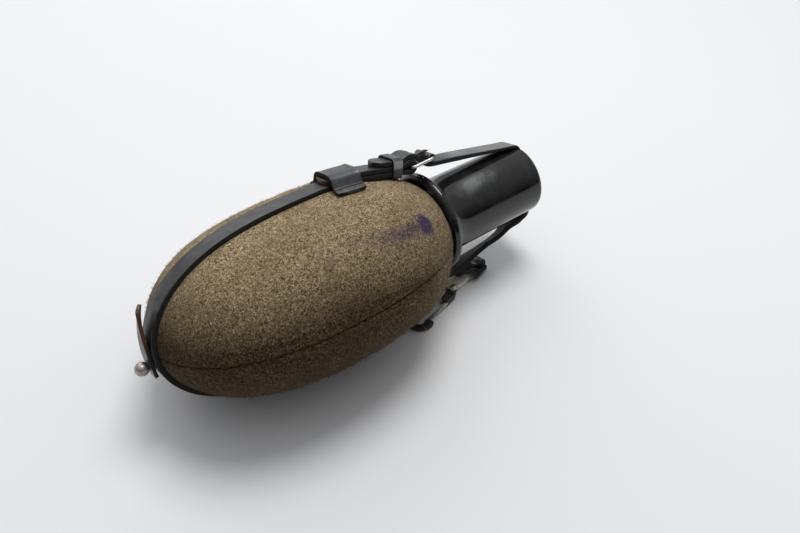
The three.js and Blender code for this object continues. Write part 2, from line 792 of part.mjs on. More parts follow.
// Buckle keeper: a closed leather loop round three strap layers
const loopInsideLow = -strapThickness / 2 - clearance;
const loopInsideHigh = 2 * layerPitch + strapThickness / 2 + clearance;
const loopInsideHalf = strapWidth / 2 + clearance;
const loopRing = roundedRectangle(new THREE.Shape(),
  -loopInsideHalf - buckleKeeperThickness, loopInsideLow - buckleKeeperThickness,
  loopInsideHalf + buckleKeeperThickness, loopInsideHigh + buckleKeeperThickness, buckleKeeperThickness);
loopRing.holes.push(roundedRectangle(new THREE.Path(),
  -loopInsideHalf, loopInsideLow, loopInsideHalf, loopInsideHigh, clearance / 2));
const [keeperX, keeperZ] = onFrontRun(-buckleKeeperRun, 0);
const buckleKeeper = piece('buckle_keeper',
  acrossStrap(plate(loopRing, buckleKeeperLength, 3))
    .rotateY(frontTilt)
    .translate(keeperX, 0, keeperZ), leather);

// Ball stud through the strap at the base; its own group stands on the strap's outer face
const strapFace = -clearance - strapThickness;
const stud = new THREE.Group();
stud.position.z = -studDrop;
const studHoleRadius = studNeckRadius + clearance;
const tabMiddle = strapFace - clearance - tabThickness / 2;
const ballSeat = Math.sqrt((studBallRadius + clearance) ** 2 - studHoleRadius ** 2);
const ballCentre = tabMiddle - tabThickness / 2 - ballSeat;
const ballProfile = [[ballCentre - studBallRadius, 0]];
const ballNeckTurn = Math.asin(studNeckRadius / studBallRadius);
for (let i = 1; i <= 7; i += 1) {
  const turn = (Math.PI - ballNeckTurn) * (i / 7);
  ballProfile.push([
    ballCentre - studBallRadius * Math.cos(turn),
    studBallRadius * Math.sin(turn),
  ]);
}
const footFace = -clearance - studFootThickness;
const baseStud = piece('base_stud', turned([
  ...ballProfile,
  [footFace, studNeckRadius],
  [footFace, studFootRadius],
  [-clearance, studFootRadius],
  [-clearance, 0],
], 24), steel);

// Buttoned tab: its hole sits on the stud's neck, its upper end stands off the strap and twists
const tabPath = [
  new THREE.Vector3(tabMiddle + tabTuck, 0, -tabLowerLength),
  new THREE.Vector3(tabMiddle, 0, -studBallRadius),
];
const tabAcross = [sideways, sideways];
for (let i = 0; i <= tabSteps; i += 1) {
  const bend = (i / tabSteps) ** tabLeanPower;
  const height = THREE.MathUtils.lerp(studBallRadius, tabUpperLength, i / tabSteps);
  tabPath.push(new THREE.Vector3(tabMiddle + tabLean * bend, 0, height));
  tabAcross.push(new THREE.Vector3(Math.sin(tabTwist * bend), Math.cos(tabTwist * bend), 0));
}
const tabHole = solid(turned([
  [-farOut, 0],
  [-farOut, studHoleRadius],
  [farOut, studHoleRadius],
  [farOut, 0],
], 24));
const tabBody = solid(ribbon(tabPath, tabAcross, tabWidth, tabThickness));
const studTab = piece('stud_tab', geometryOf(tabBody.subtract(tabHole)), leather);
stud.add(baseStud, studTab);

// Stepped hole in the strap: the stud's neck, and its foot let into the inner face
const strapHole = solid(turned([
  [-coverHalfDepth, 0],
  [-coverHalfDepth, studHoleRadius],
  [footFace - clearance, studHoleRadius],
  [footFace - clearance, studFootRadius + clearance],
  [feltThickness, studFootRadius + clearance],
  [feltThickness, 0],
], 24).translate(0, 0, -studDrop));
const harnessStrap = piece('harness_strap', geometryOf(harness.subtract(strapHole)), leather);

// Lying pose: the flask rolls until the strap's far edge and the felt touch the floor together
const strapFaceDepth = coverHalfDepth + clearance + strapThickness;
const rollSquare = coverHalfWidth ** 2 - (strapWidth / 2) ** 2;
const rollLinear = strapFaceDepth * strapWidth;
const rollConstant = strapFaceDepth ** 2 - coverHalfDepth ** 2;
const rollSlope = (rollLinear + Math.sqrt(rollLinear ** 2 + 4 * rollSquare * rollConstant)) / (2 * rollSquare);
const roll = Math.atan(rollSlope);
const axisHeight = strapFaceDepth * Math.cos(roll) + (strapWidth / 2) * Math.sin(roll);
const lying = new THREE.Group();
lying.position.z = axisHeight;
lying.rotation.x = -roll;
lying.updateMatrix();

// Snap hook in its own group: origin on the eye's bar, x towards the nose, y towards the gate's side
const hook = new THREE.Group();
hook.position.set(hookBarStation, hookBarSide, hookBarHeight);
hook.rotation.set(0, hookDip, Math.PI + hookHeading, 'ZYX');
const halfBar = hookThickness / 2;
const bowInner = hookBowRadius - hookWire;
const noseTip = hookBowCentre - hookNoseReach;
const gateRoom = gateKnuckle + 2 * clearance;
const neckEnd = hookNeckStart + hookNeckTaper;
const hookOutline = new THREE.Shape();
hookOutline.moveTo(-halfBar + eyeCorner, -eyeHalfWidth);
hookOutline.lineTo(hookNeckStart, -eyeHalfWidth);
hookOutline.lineTo(neckEnd, -hookNeckHalf);
hookOutline.lineTo(hookRootStation, -hookNeckHalf);
hookOutline.lineTo(hookRootStation + hookRootRun, -hookBowRadius);
hookOutline.lineTo(hookBowCentre, -hookBowRadius);
hookOutline.absarc(hookBowCentre, 0, hookBowRadius, -Math.PI / 2, Math.PI / 2);
hookOutline.lineTo(noseTip, hookBowRadius);
hookOutline.lineTo(noseTip, bowInner);
hookOutline.lineTo(hookBowCentre, bowInner);
hookOutline.absarc(hookBowCentre, 0, bowInner, Math.PI / 2, -Math.PI / 2, true);
hookOutline.lineTo(hookSpineStart, -bowInner);
hookOutline.lineTo(hookCheekEnd, gateSide - gateRoom);
hookOutline.lineTo(gateStation - gateRoom, gateSide - gateRoom);
hookOutline.lineTo(gateStation - gateRoom, hookNeckHalf);
hookOutline.lineTo(neckEnd, hookNeckHalf);
hookOutline.lineTo(hookNeckStart, eyeHalfWidth);
hookOutline.lineTo(-halfBar + eyeCorner, eyeHalfWidth);
hookOutline.absarc(-halfBar + eyeCorner, eyeHalfWidth - eyeCorner, eyeCorner, Math.PI / 2, Math.PI);
hookOutline.lineTo(-halfBar, -eyeHalfWidth + eyeCorner);
hookOutline.absarc(-halfBar + eyeCorner, -eyeHalfWidth + eyeCorner, eyeCorner, Math.PI, 1.5 * Math.PI);
const eyeWindowHalf = loopWidth / 2 + clearance + eyeSideRoom;
hookOutline.holes.push(roundedRectangle(new THREE.Path(),
  halfBar, -eyeWindowHalf, hookNeckStart, eyeWindowHalf, eyeWindowCorner));

// Cheeks on both faces of the neck, which hold the gate's tail on the rivet
const cheekOutline = roundedRectangle(new THREE.Shape(),
  hookCheekStart, -hookNeckHalf, hookCheekEnd, hookNeckHalf, hookCheekCorner);
const rivetHole = new THREE.Path();
rivetHole.absarc(gateStation, gateSide, gateRivetRadius + clearance, 0, 2 * Math.PI, true);
cheekOutline.holes.push(rivetHole);
const cheekLift = halfBar + hookCheek / 2;
const topCheek = solid(plate(cheekOutline, hookCheek, 6).translate(0, 0, cheekLift));
const lowCheek = solid(plate(cheekOutline, hookCheek, 6).translate(0, 0, -cheekLift));
const hookBody = solid(plate(hookOutline, hookThickness)).add(topCheek).add(lowCheek);
const snapHook = piece('snap_hook', geometryOf(hookBody), steel);

// Gate: a tail between the cheeks, a thick root block and a thin arm that stops inside the nose
const gateGroup = new THREE.Group();
gateGroup.position.set(gateStation, gateSide, 0);
const gateEnd = noseTip - gateStation + gateOverlap;
const armOuter = bowInner - clearance - gateSide;
const gateOutline = new THREE.Shape();
gateOutline.absarc(0, 0, gateKnuckle, Math.PI / 2, 1.5 * Math.PI);
gateOutline.lineTo(gateBlockEnd, gateBlockFoot);
gateOutline.lineTo(gateBlockEnd, gateBlockTop - gateArm);
gateOutline.lineTo(gateEnd, armOuter - gateArm);
gateOutline.lineTo(gateEnd, armOuter);
gateOutline.lineTo(gateBlockEnd, gateBlockTop);
gateOutline.lineTo(gateBlockStart, gateBlockTop);
gateOutline.closePath();
const tailHole = new THREE.Path();
tailHole.absarc(0, 0, gateRivetRadius + clearance, 0, 2 * Math.PI, true);
gateOutline.holes.push(tailHole);
const gateBlock = new THREE.Shape();
gateBlock.moveTo(gateBlockStart, -gateKnuckle / 2);
gateBlock.lineTo(gateBlockEnd, gateBlockFoot);
gateBlock.lineTo(gateBlockEnd, gateBlockTop);
gateBlock.lineTo(gateBlockStart, gateBlockTop);
gateBlock.closePath();
const gateThickness = hookThickness - 2 * clearance;
const gateBody = solid(plate(gateOutline, gateThickness))
  .add(solid(plate(gateBlock, hookThickness + 2 * hookCheek)));
const hookGate = piece('hook_gate', geometryOf(gateBody), blackSteel);
const rivetTop = halfBar + hookCheek + clearance;
const gateRivet = piece('gate_rivet', turned([
  [-rivetTop - gateRivetHeadHeight, 0],
  [-rivetTop - gateRivetHeadHeight, gateRivetHead],
  [-rivetTop, gateRivetHead],
  [-rivetTop, gateRivetRadius],
  [rivetTop, gateRivetRadius],
  [rivetTop, gateRivetHead],
  [rivetTop + gateRivetHeadHeight, gateRivetHead],
  [rivetTop + gateRivetHeadHeight, 0],
], 16).rotateY(-Math.PI / 2), brass);

// Leaf spring from the hook's root along the inner side of the gate's block
const blockSlope = (gateBlockFoot + gateKnuckle) / gateBlockEnd;
const springOffset = (clearance + springThickness / 2) * Math.hypot(1, blockSlope);
const springPath = [springStart, springEnd].map((along) => new THREE.Vector3(
  along, -gateKnuckle + blockSlope * along - springOffset, 0));
const upwards = new THREE.Vector3(0, 0, 1);
const gateSpring = piece('gate_spring',
  ribbon(springPath, [upwards, upwards], gateThickness, springThickness), steel);
gateGroup.add(hookGate, gateRivet, gateSpring);
hook.add(snapHook, gateGroup);

// Leather loop: along the strap's outer face, round the eye's bar and back up through the eye
const loopOffset = strapThickness / 2 + clearance + loopThickness / 2;
function underBackRun(x, depth) {
  return new THREE.Vector3(x, 0, backRun(x) - depth).applyMatrix4(lying.matrix);
}
const barCentre = hook.position;
const barToEye = new THREE.Vector3(Math.cos(hookHeading), Math.sin(hookHeading), 0);
const barAcross = new THREE.Vector3(-Math.sin(hookHeading), Math.cos(hookHeading), 0);
const strapAcross = sideways.clone().transformDirection(lying.matrix);
const bendRadius = halfBar * Math.SQRT2 + clearance + loopThickness / 2;
const loopPath = [underBackRun(loopStart, loopOffset), underBackRun(loopBendStart, loopOffset)];
const loopAcross = [strapAcross, strapAcross];
for (let i = 0; i <= loopBendSteps; i += 1) {
  const turn = THREE.MathUtils.lerp(loopBendFrom, loopBendTo, i / loopBendSteps);
  loopPath.push(barCentre.clone()
    .addScaledVector(barToEye, bendRadius * Math.cos(turn))
    .add(new THREE.Vector3(0, 0, bendRadius * Math.sin(turn))));
  loopAcross.push(barAcross);
}
loopPath.push(barCentre.clone()
  .addScaledVector(barToEye, -loopRiseRun)
  .add(new THREE.Vector3(0, 0, loopRise)));
loopAcross.push(barAcross);
const tailOffset = loopOffset + loopThickness + clearance;
loopPath.push(underBackRun(loopTailStation, tailOffset));
loopAcross.push(strapAcross);
loopPath.push(underBackRun(loopStart, tailOffset));
loopAcross.push(strapAcross);

// Rivet through the strap and both ends of the loop, square to the back run
const rivetFrame = new THREE.Matrix4()
  .makeTranslation(loopRivetStation, 0, backRun(loopRivetStation))
  .multiply(new THREE.Matrix4().makeRotationY(Math.PI / 2 - Math.atan(backTangentSlope)));
const rivetInside = -strapThickness / 2 - clearance;
const rivetOutside = tailOffset + loopThickness / 2 + clearance;
const loopRivet = piece('loop_rivet', turned([
  [rivetInside - loopRivetHeadHeight, 0],
  [rivetInside - loopRivetHeadHeight, loopRivetHead],
  [rivetInside, loopRivetHead],
  [rivetInside, loopRivetRadius],
  [rivetOutside, loopRivetRadius],
  [rivetOutside, loopRivetHead],
  [rivetOutside + loopRivetHeadHeight, loopRivetHead],
  [rivetOutside + loopRivetHeadHeight, 0],
], 16).applyMatrix4(rivetFrame), blackSteel);
const rivetBore = loopRivetRadius + clearance;
const rivetCut = turned([
  [2 * rivetInside, 0],
  [2 * rivetInside, rivetBore],
  [2 * rivetOutside, rivetBore],
  [2 * rivetOutside, 0],
], 16).applyMatrix4(rivetFrame);
const cupStrap = piece('cup_strap', geometryOf(cupStrapBody.subtract(solid(rivetCut))), leather);
const loopBody = solid(ribbon(loopPath, loopAcross, loopWidth, loopThickness));
const loopCut = solid(rivetCut.clone().applyMatrix4(lying.matrix));
const hookLoop = piece('hook_loop', geometryOf(loopBody.subtract(loopCut)), leather);

lying.add(flask, capSeal, screwCap, cup, feltFront, feltBack, ...coverSnaps);
lying.add(harnessStrap, cupStrap, feltKeeper, buckleKeeper, buckle, stud, loopRivet);

// Whole part, with its origin under the middle of its bounding box
const settled = new THREE.Group();
settled.add(lying, hookLoop, hook);
const extent = new THREE.Box3().setFromObject(settled, true);
const middle = extent.getCenter(new THREE.Vector3());
settled.position.set(-middle.x, -middle.y, -extent.min.z);
const canteen = new THREE.Group();
canteen.name = 'field_canteen';
canteen.add(settled);

export default canteen;
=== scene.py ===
# Field canteen: the looks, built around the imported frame. Metres, +X from base to cup, floor at z = 0.
import json
import math

import bmesh
import bpy
import numpy as np
from mathutils import Matrix, Vector, noise
from mathutils.geometry import tessellate_polygon


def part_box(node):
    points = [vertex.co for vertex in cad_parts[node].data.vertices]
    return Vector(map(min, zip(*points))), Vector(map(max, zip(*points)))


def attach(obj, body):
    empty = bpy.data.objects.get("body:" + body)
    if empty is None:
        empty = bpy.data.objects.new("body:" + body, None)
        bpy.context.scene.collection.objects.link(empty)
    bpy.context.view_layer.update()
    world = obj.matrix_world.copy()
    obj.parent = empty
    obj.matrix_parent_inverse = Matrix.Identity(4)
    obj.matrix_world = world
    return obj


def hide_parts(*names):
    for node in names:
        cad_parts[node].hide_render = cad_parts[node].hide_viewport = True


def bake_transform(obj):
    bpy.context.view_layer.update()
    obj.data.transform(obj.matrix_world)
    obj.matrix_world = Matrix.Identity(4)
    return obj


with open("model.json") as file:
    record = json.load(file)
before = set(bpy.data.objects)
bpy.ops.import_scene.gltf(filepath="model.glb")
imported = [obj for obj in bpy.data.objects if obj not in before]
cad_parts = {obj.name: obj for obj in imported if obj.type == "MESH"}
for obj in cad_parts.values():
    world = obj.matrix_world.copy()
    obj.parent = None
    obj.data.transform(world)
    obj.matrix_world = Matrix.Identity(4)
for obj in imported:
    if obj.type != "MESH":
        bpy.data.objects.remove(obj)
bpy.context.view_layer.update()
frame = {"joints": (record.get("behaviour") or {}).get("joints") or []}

JOINTS = {joint["name"]: joint for joint in frame["joints"]}
MM = 0.001


def move(x, y, z):
    return Matrix.Translation((x, y, z))


def turn(angle, axis):
    return Matrix.Rotation(angle, 4, axis)


# Lying pose and the hook's pose, read from the frame's joints
AXIS_START = Vector(JOINTS["cap_turn"]["pos_m"])
BAR_AXIS = Vector(JOINTS["frame_tilt"]["axis"])
ROLL = math.atan2(BAR_AXIS.z, -BAR_AXIS.y)
TO_METRES = Matrix.Scale(MM, 4)
LYING = Matrix.Translation(AXIS_START) @ turn(-ROLL, "X") @ TO_METRES
HOOK_BAR = Vector(JOINTS["hook_swing"]["pos_m"])
HOOK_AXIS = Vector(JOINTS["hook_swing"]["axis"])
GATE_AXIS = Vector(JOINTS["gate_open"]["axis"])
HOOK_HEADING = math.atan2(-HOOK_AXIS.x, HOOK_AXIS.y)
HOOK_DIP = math.asin(math.hypot(GATE_AXIS.x, GATE_AXIS.y))
HOOK = Matrix.Translation(HOOK_BAR) @ turn(math.pi + HOOK_HEADING, "Z") @ turn(HOOK_DIP, "Y") @ TO_METRES

# Felt cover, in millimetres in the flask's own frame: x from the base, y to the far side, z to the front
CLEARANCE = 0.3
WIDTH = (63.5, 1.68)
DEPTH = (46.0, 2.3)
COVER_BASE_LENGTH = 90.0
SHOULDER_START = 100.0
COVER_END = 178.0
BASE_POWER = 2.5
COLLAR_RADIUS = 17.0
FELT_THICKNESS = 3.0
FELT_ROWS = 170
FELT_COLUMNS = 180
SEAM_GATHER = 0.62
SEAM_DEPTH = 0.8
SEAM_WIDTH = 0.55
# Lumps as (height, pace), the shoulder's swell and the nap
FELT_LUMPS = ((0.45, 0.035), (0.22, 0.16), (0.16, 0.9), (0.12, 0.45))
SWELL = 1.9
SWELL_FROM = 106.0
SWELL_TO = 168.5
NAP_COUNT = 14000
NAP_FLOOR = 0.0028
NAP_LEAN = (0.5, 1.35)
NAP_LENGTH = (0.9, 2.3)
NAP_BEND = (-0.9, 0.9)
NAP_RADIUS = (0.045, 0.085)
NAP_ROOT = 0.35
LINT_REACH = 1.1
LINT_SCALE = 3.6

# Closing flap on the far side and its press studs
FLAP_START = 34.0
FLAP_END = 148.0
FLAP_REACH = 14.0
FLAP_ROOT = 11.0
FLAP_CORNER = 9.0
SNAP_COUNT = 4
SNAP_DROP = 5.0
SNAP_END_MARGIN = 15.0
SNAP_CAP_RADIUS = 6.0
SNAP_CAP_HEIGHT = 1.8
SNAP_SHANK_RADIUS = 2.2

# Flask, seal and screw cap
FLASK_INSET = FELT_THICKNESS + CLEARANCE
FLASK_WALL = 1.6
NECK_RADIUS = COLLAR_RADIUS - FLASK_INSET
NECK_BORE = 11.5
MOUTH = COVER_END - FLASK_INSET + 22.0
SEAL_END = MOUTH + CLEARANCE + 2.5
CAP_BORE = NECK_RADIUS + 0.6
CAP_RADIUS = CAP_BORE + 3.3
CAP_START = COVER_END + 2.0
CAP_END = SEAL_END + CLEARANCE + 3.4
CAP_FLUTES = 44
CAP_FLUTE_DEPTH = 0.55
THREAD_TURNS = 2.6
THREAD_PITCH = 4.0
THREAD_STEPS = 150

# Leather strap
STRAP_WIDTH = 13.0
STRAP_THICKNESS = 2.8
LAYER_PITCH = STRAP_THICKNESS + CLEARANCE
SKIN_OFFSET = CLEARANCE + STRAP_THICKNESS / 2
FRONT_SLOPE = 0.247
BACK_SLOPE = 0.147
FOLD_BACK_START = 112.5
LAP_RUN = 25.0
LAP_LENGTH = 21.0
LAP_RISE = 10.0
LOOP_BEND_START = 199.0
BACK_BOW_STATION = 214.0
BACK_BOW_DROP = 33.0
BACK_BOW_MARGIN = 3.0
STRAP_TWIST = math.radians(26)
CUP_BEND_RUN = 48.0
CUP_BEND_SLIM = 0.35
CUP_BEND_TUCK = 0.4
CUP_BEND_DROP = 0.9

# Cup
CUP_END = 250.0
CUP_RADIUS = 22.0
CUP_TAPER = 0.7
CUP_WALL = 2.3
CUP_FLOOR = 6.0
CUP_END_ROUNDING = 3.5
CUP_RIM_RADIUS = 30.7
CUP_MOUTH_RADIUS = 27.5
CUP_RIM_THICKNESS = 5.6
CUP_FLARE_LENGTH = 13.0
CUP_CORNER_RADIUS = 5.0
GROOVE_DEPTH = STRAP_THICKNESS + 2 * CLEARANCE
GROOVE_HALF = STRAP_WIDTH / 2 + 1
GROOVE_CORNER = CUP_CORNER_RADIUS - STRAP_THICKNESS / 2 - CLEARANCE

# Buckle
HEEL_RUN = 30.0
BUCKLE_LENGTH = 14.0
BUCKLE_RISE = 3.8
WIRE_RADIUS = 1.2
WINDOW_HALF = STRAP_WIDTH / 2 + 0.8
ROLLER_RADIUS = 2.3
ROLLER_WALL = 0.55
PRONG_WIDTH = 2.6
EYE_BORE = 1.642
EYE_OUTER = 3.142
PRONG_ROOT_TURN = math.radians(34)
PRONG_TIP_HEIGHT = 1.5
SLOT_HALF = PRONG_WIDTH / 2 + 0.9
FOLD_RADIUS = WIRE_RADIUS + CLEARANCE + STRAP_THICKNESS / 2
FOLD_TAPER = 5.8
BILLET_TAPER = 6.6
BILLET_LENGTH = 23.7
BILLET_CREST = 2.4
BILLET_ROLLER_RUN = 3.0
BILLET_LIFT = 2 * FOLD_RADIUS + LAYER_PITCH
UNDER_ROLLER = FOLD_RADIUS + BUCKLE_RISE - ROLLER_RADIUS - CLEARANCE - STRAP_THICKNESS / 2
FRAME_REACH = math.hypot(BUCKLE_LENGTH, BUCKLE_RISE)

# Keepers
FELT_KEEPER_STATION = 123.0
FELT_KEEPER_LENGTH = 18.5
FELT_KEEPER_THICKNESS = 1.9
BUCKLE_KEEPER_RUN = 10.2
BUCKLE_KEEPER_LENGTH = 6.4
BUCKLE_KEEPER_THICKNESS = 1.25
CROWN_RADIUS = WIDTH[0] ** 2 / DEPTH[0]

# Ball stud and tab at the base
STUD_DROP = 4.0
STUD_BALL_RADIUS = 3.8
STUD_NECK_RADIUS = 1.9
STUD_FOOT_RADIUS = 3.6
STUD_FOOT_FACE = -1.1
TAB_MIDDLE = -4.4
TAB_WIDTH = 10.0
TAB_THICKNESS = 2.0
TAB_FOOT = -7.4
TAB_FOOT_BEND = 0.7
TAB_FLAT = 3.8
TAB_TOP = 32.0
TAB_LEAN = 4.6
TAB_TWIST = math.radians(30)
BALL_CENTRE = -8.86

# Snap hook: x from the eye's bar to the nose, y to the gate's side
HOOK_THICKNESS = 2.6
HOOK_WIRE = 3.4
BOW_RADIUS = 8.7
BOW_CENTRE = 60.0
NOSE_TIP = 57.5
NECK_START = 10.5
NECK_END = 14.5
NECK_HALF = 4.2
ROOT_STATION = 24.0
ROOT_RUN = 6.0
SPINE_START = 36.0
CHEEK_START = 21.5
CHEEK_END = 30.3
CHEEK = 1.0
EYE_HALF = 8.4
EYE_WINDOW_HALF = 5.7
GATE_STATION = 27.5
GATE_SIDE = 1.5
GATE_KNUCKLE = 2.6
GATE_BLOCK = (3.9, 13.0)
GATE_BLOCK_TOP = 4.6
GATE_BLOCK_FOOT = 0.4
GATE_ARM = 1.4
GATE_END = 33.0
GATE_RIVET_RADIUS = 1.1
GATE_RIVET_HEAD = 2.0
SPRING_THICKNESS = 0.5
SPRING_SPAN = (2.0, 11.5)

# Leather loop of the hook and its rivet
LOOP_WIDTH = 10.0
LOOP_THICKNESS = 2.0
LOOP_START = 187.5
LOOP_TAIL = 195.0
LOOP_OFFSET = STRAP_THICKNESS / 2 + CLEARANCE + LOOP_THICKNESS / 2
LOOP_TAIL_OFFSET = LOOP_OFFSET + LOOP_THICKNESS + CLEARANCE
LOOP_BEND = HOOK_THICKNESS / 2 * math.sqrt(2) + 2 * CLEARANCE + LOOP_THICKNESS / 2
LOOP_RISE_RUN = 10.5
LOOP_RISE = 4.75
LOOP_RIVET_STATION = 191.3
LOOP_RIVET_RADIUS = 1.4
LOOP_RIVET_HEAD = 2.8

# Colours, as linear values
OLIVE = (0.335, 0.250, 0.138)
STRAW = (0.72, 0.575, 0.355)
PEAT = (0.062, 0.040, 0.021)
DULL_FELT = (0.130, 0.090, 0.052)
FELT_SHEEN = (0.80, 0.70, 0.50)
# Dark brown for the felt's seam dirt and for its painted shade low down, which is partly dirt
SOIL_AND_SHADE = (0.025, 0.0100, 0.0042)
INK = (0.030, 0.017, 0.072)
LINT = (0.72, 0.70, 0.68)
BLACK_HIDE = (0.014, 0.0132, 0.0130)
GREY_HIDE = (0.072, 0.070, 0.068)
KEEPER_HIDE = (0.036, 0.0365, 0.038)
WORN_KEEPER = (0.080, 0.081, 0.085)
# Pale grey of the painted highlight on the leather
PAINTED_HIGHLIGHT_HIDE = (0.30, 0.31, 0.31)
RAW_HIDE = (0.092, 0.027, 0.013)
BROWN_HIDE = (0.026, 0.016, 0.010)
EDGE_BLACK = (0.0045, 0.0040, 0.0036)
BLACKING = (0.028, 0.025, 0.023)
BARE_STEEL = (0.62, 0.59, 0.55)
CUP_GLOSS = (0.0075, 0.0073, 0.0072)
CUP_SMEAR = (0.022, 0.021, 0.020)
# Grey of the cup's scuffed patch, a painted reflection
CUP_PAINTED_REFLECTION = (0.125, 0.127, 0.126)
RED_RUBBER = (0.10, 0.030, 0.018)
OLD_RUBBER = (0.055, 0.020, 0.014)
FLOOR_WHITE = (0.82, 0.82, 0.822)
FLOOR_SHADE = (0.78, 0.78, 0.785)
SKY = (0.95, 0.97, 1.0)


# Form of the cover
def form_radius(x, across, inset=0.0):
    """Half width or half depth of the cover's skin at station x, moved inwards by an inset."""
    half, collar = across[0] - inset, COLLAR_RADIUS - inset
    if x < COVER_BASE_LENGTH:
        rest = 1 - (x - inset) / (COVER_BASE_LENGTH - inset)
        return half * math.sqrt(max(0.0, 1 - max(0.0, rest) ** BASE_POWER))
    if x <= SHOULDER_START:
        return half
    along = min(1.0, (x - SHOULDER_START) / (COVER_END - inset - SHOULDER_START))
    return math.sqrt(collar ** 2 + (half ** 2 - collar ** 2) * (1 - along ** across[1]))


def form_slope(x, across=DEPTH):
    """Drop of the front or side line for each millimetre along the axis."""
    step = 0.05
    return (form_radius(x - step, across) - form_radius(x + step, across)) / (2 * step)


def tangent_station(slope):
    """Station on the shoulder where the front line has a given slope."""
    low, high = SHOULDER_START, COVER_END - FELT_THICKNESS
    for _ in range(40):
        middle = (low + high) / 2
        if form_slope(middle) < slope:
            low = middle
        else:
            high = middle
    return (low + high) / 2


def halves(x, inset=0.0):
    """Half width and half depth of the skin at a station."""
    return form_radius(x, WIDTH, inset), form_radius(x, DEPTH, inset)


def running(steps):
    """Length run so far at each point, from the steps between them."""
    return np.concatenate(([0], np.cumsum(steps)))


def form_stations(inset, count):
    """Stations evenly spaced along the skin's length, from the base pole to the collar."""
    turns = np.linspace(0, math.pi / 2, 400)
    xs = [inset + (COVER_BASE_LENGTH - inset) * (1 - math.cos(t)) for t in turns]
    xs += [SHOULDER_START + (COVER_END - inset - SHOULDER_START) * math.sin(t) for t in turns]
    radii = [form_radius(x, WIDTH, inset) for x in xs]
    run = running(np.hypot(np.diff(xs), np.diff(radii)))
    return np.interp(np.linspace(0, run[-1], count + 1), run, xs)


FRONT_LEAVE = tangent_station(FRONT_SLOPE)
BACK_LEAVE = tangent_station(BACK_SLOPE)
FRONT_TILT = math.atan(FRONT_SLOPE)


def over_front(x, height):
    """Point [x, z] off the front line, at a height above the skin."""
    slope = form_slope(x)
    scale = height / math.hypot(1, slope)
    return x + slope * scale, form_radius(x, DEPTH) + scale


FRONT_START = over_front(FRONT_LEAVE, SKIN_OFFSET)
BACK_START = over_front(BACK_LEAVE, SKIN_OFFSET)
LAP_START = BACK_START[0] + LAP_RUN
LAP_END = LAP_START + LAP_LENGTH


def on_front_run(along, height):
    """Point [x, z] of the straight front run, from the heel bar and above the lower layer's middle."""
    run = HEEL_RUN + along
    sine, cosine = math.sin(FRONT_TILT), math.cos(FRONT_TILT)
    return (FRONT_START[0] + run * cosine + height * sine,
            FRONT_START[1] - run * sine + height * cosine)


def back_run(x):
    """Height of the straight back run, which lies under the axis."""
    return -(BACK_START[1] - BACK_SLOPE * (x - BACK_START[0]))


def in_middle(point):
    return move(point[0], 0, point[1])


RUN = LYING @ in_middle(on_front_run(0, 0)) @ turn(FRONT_TILT, "Y")
BUCKLE = (LYING @ in_middle(on_front_run(0, FOLD_RADIUS))
          @ turn(FRONT_TILT - math.atan2(BUCKLE_RISE, BUCKLE_LENGTH), "Y"))
STUD = LYING @ move(0, 0, -STUD_DROP)
GATE = HOOK @ move(GATE_STATION, GATE_SIDE, 0)
KEEPER = (LYING @ move(FELT_KEEPER_STATION, 0, form_radius(FELT_KEEPER_STATION, DEPTH))
          @ turn(math.atan(form_slope(FELT_KEEPER_STATION)), "Y"))
RIVET = (LYING @ in_middle((LOOP_RIVET_STATION, back_run(LOOP_RIVET_STATION)))
         @ turn(math.pi / 2 - math.atan(BACK_SLOPE), "Y"))


# Paths and outlines
def clamped(value):
    return max(0.0, min(1.0, value))


def swung(start, end, angle):
    """Direction at an angle from one unit vector towards another across it."""
    return start * math.cos(angle) + end * math.sin(angle)


def on_ring(x, wide, deep, angle):
    return Vector((x, wide * math.cos(angle), deep * math.sin(angle)))


def smooth(value, low, high):
    """Rises smoothly from 0 to 1 between two values."""
    share = clamped((value - low) / (high - low))
    return share * share * (3 - 2 * share)


def fade(value, full, gone):
    """Falls smoothly from 1 to 0 between two values."""
    return smooth(-value, -gone, -full)


def arc(centre, radius, start, end, steps):
    """Points on an arc, with its angles in degrees."""
    angles = np.radians(np.linspace(start, end, steps + 1))
    return [(centre[0] + radius * math.cos(a), centre[1] + radius * math.sin(a)) for a in angles]


def rect(left, low, right, high):
    return [(left, low), (right, low), (right, high), (left, high)]


def rounded(points, radius, closed=False, steps=5):
    """The 2-D or 3-D outline with each corner replaced by an arc-like curve."""
    points = [Vector(p) for p in points]
    count = len(points)
    made = []
    for i, point in enumerate(points):
        if not closed and i in (0, count - 1):
            made.append(point)
            continue
        before, after = points[i - 1], points[(i + 1) % count]
        reach = min(radius, (before - point).length * 0.48, (after - point).length * 0.48)
        start = point + (before - point).normalized() * reach
        end = point + (after - point).normalized() * reach
        for k in range(steps + 1):
            t = k / steps
            made.append(start * (1 - t) ** 2 + point * 2 * t * (1 - t) + end * t ** 2)
    return made


def refined(ring, step):
    """A closed ring of points with its sides cut into steps."""
    made = []
    for a, b in zip(ring, ring[1:] + ring[:1]):
        steps = max(1, round((b - a).length / step))
        made += [a.lerp(b, k / steps) for k in range(steps)]
    return made


END_STEPS = (0.0, 0.12, 0.35, 0.7)
END_RUN = 1.2


def spaced(points, step):
    """The path again at even steps, with closer points at both ends."""
    points = np.array([list(p) for p in points], float)
    run = running(np.linalg.norm(np.diff(points, axis=0), axis=1))
    inside = np.linspace(END_RUN, run[-1] - END_RUN, max(2, round(run[-1] / step)) + 1)
    places = np.concatenate((END_STEPS, inside, [run[-1] - s for s in END_STEPS[::-1]]))
    return np.stack([np.interp(places, run, points[:, k]) for k in range(points.shape[1])], axis=1)


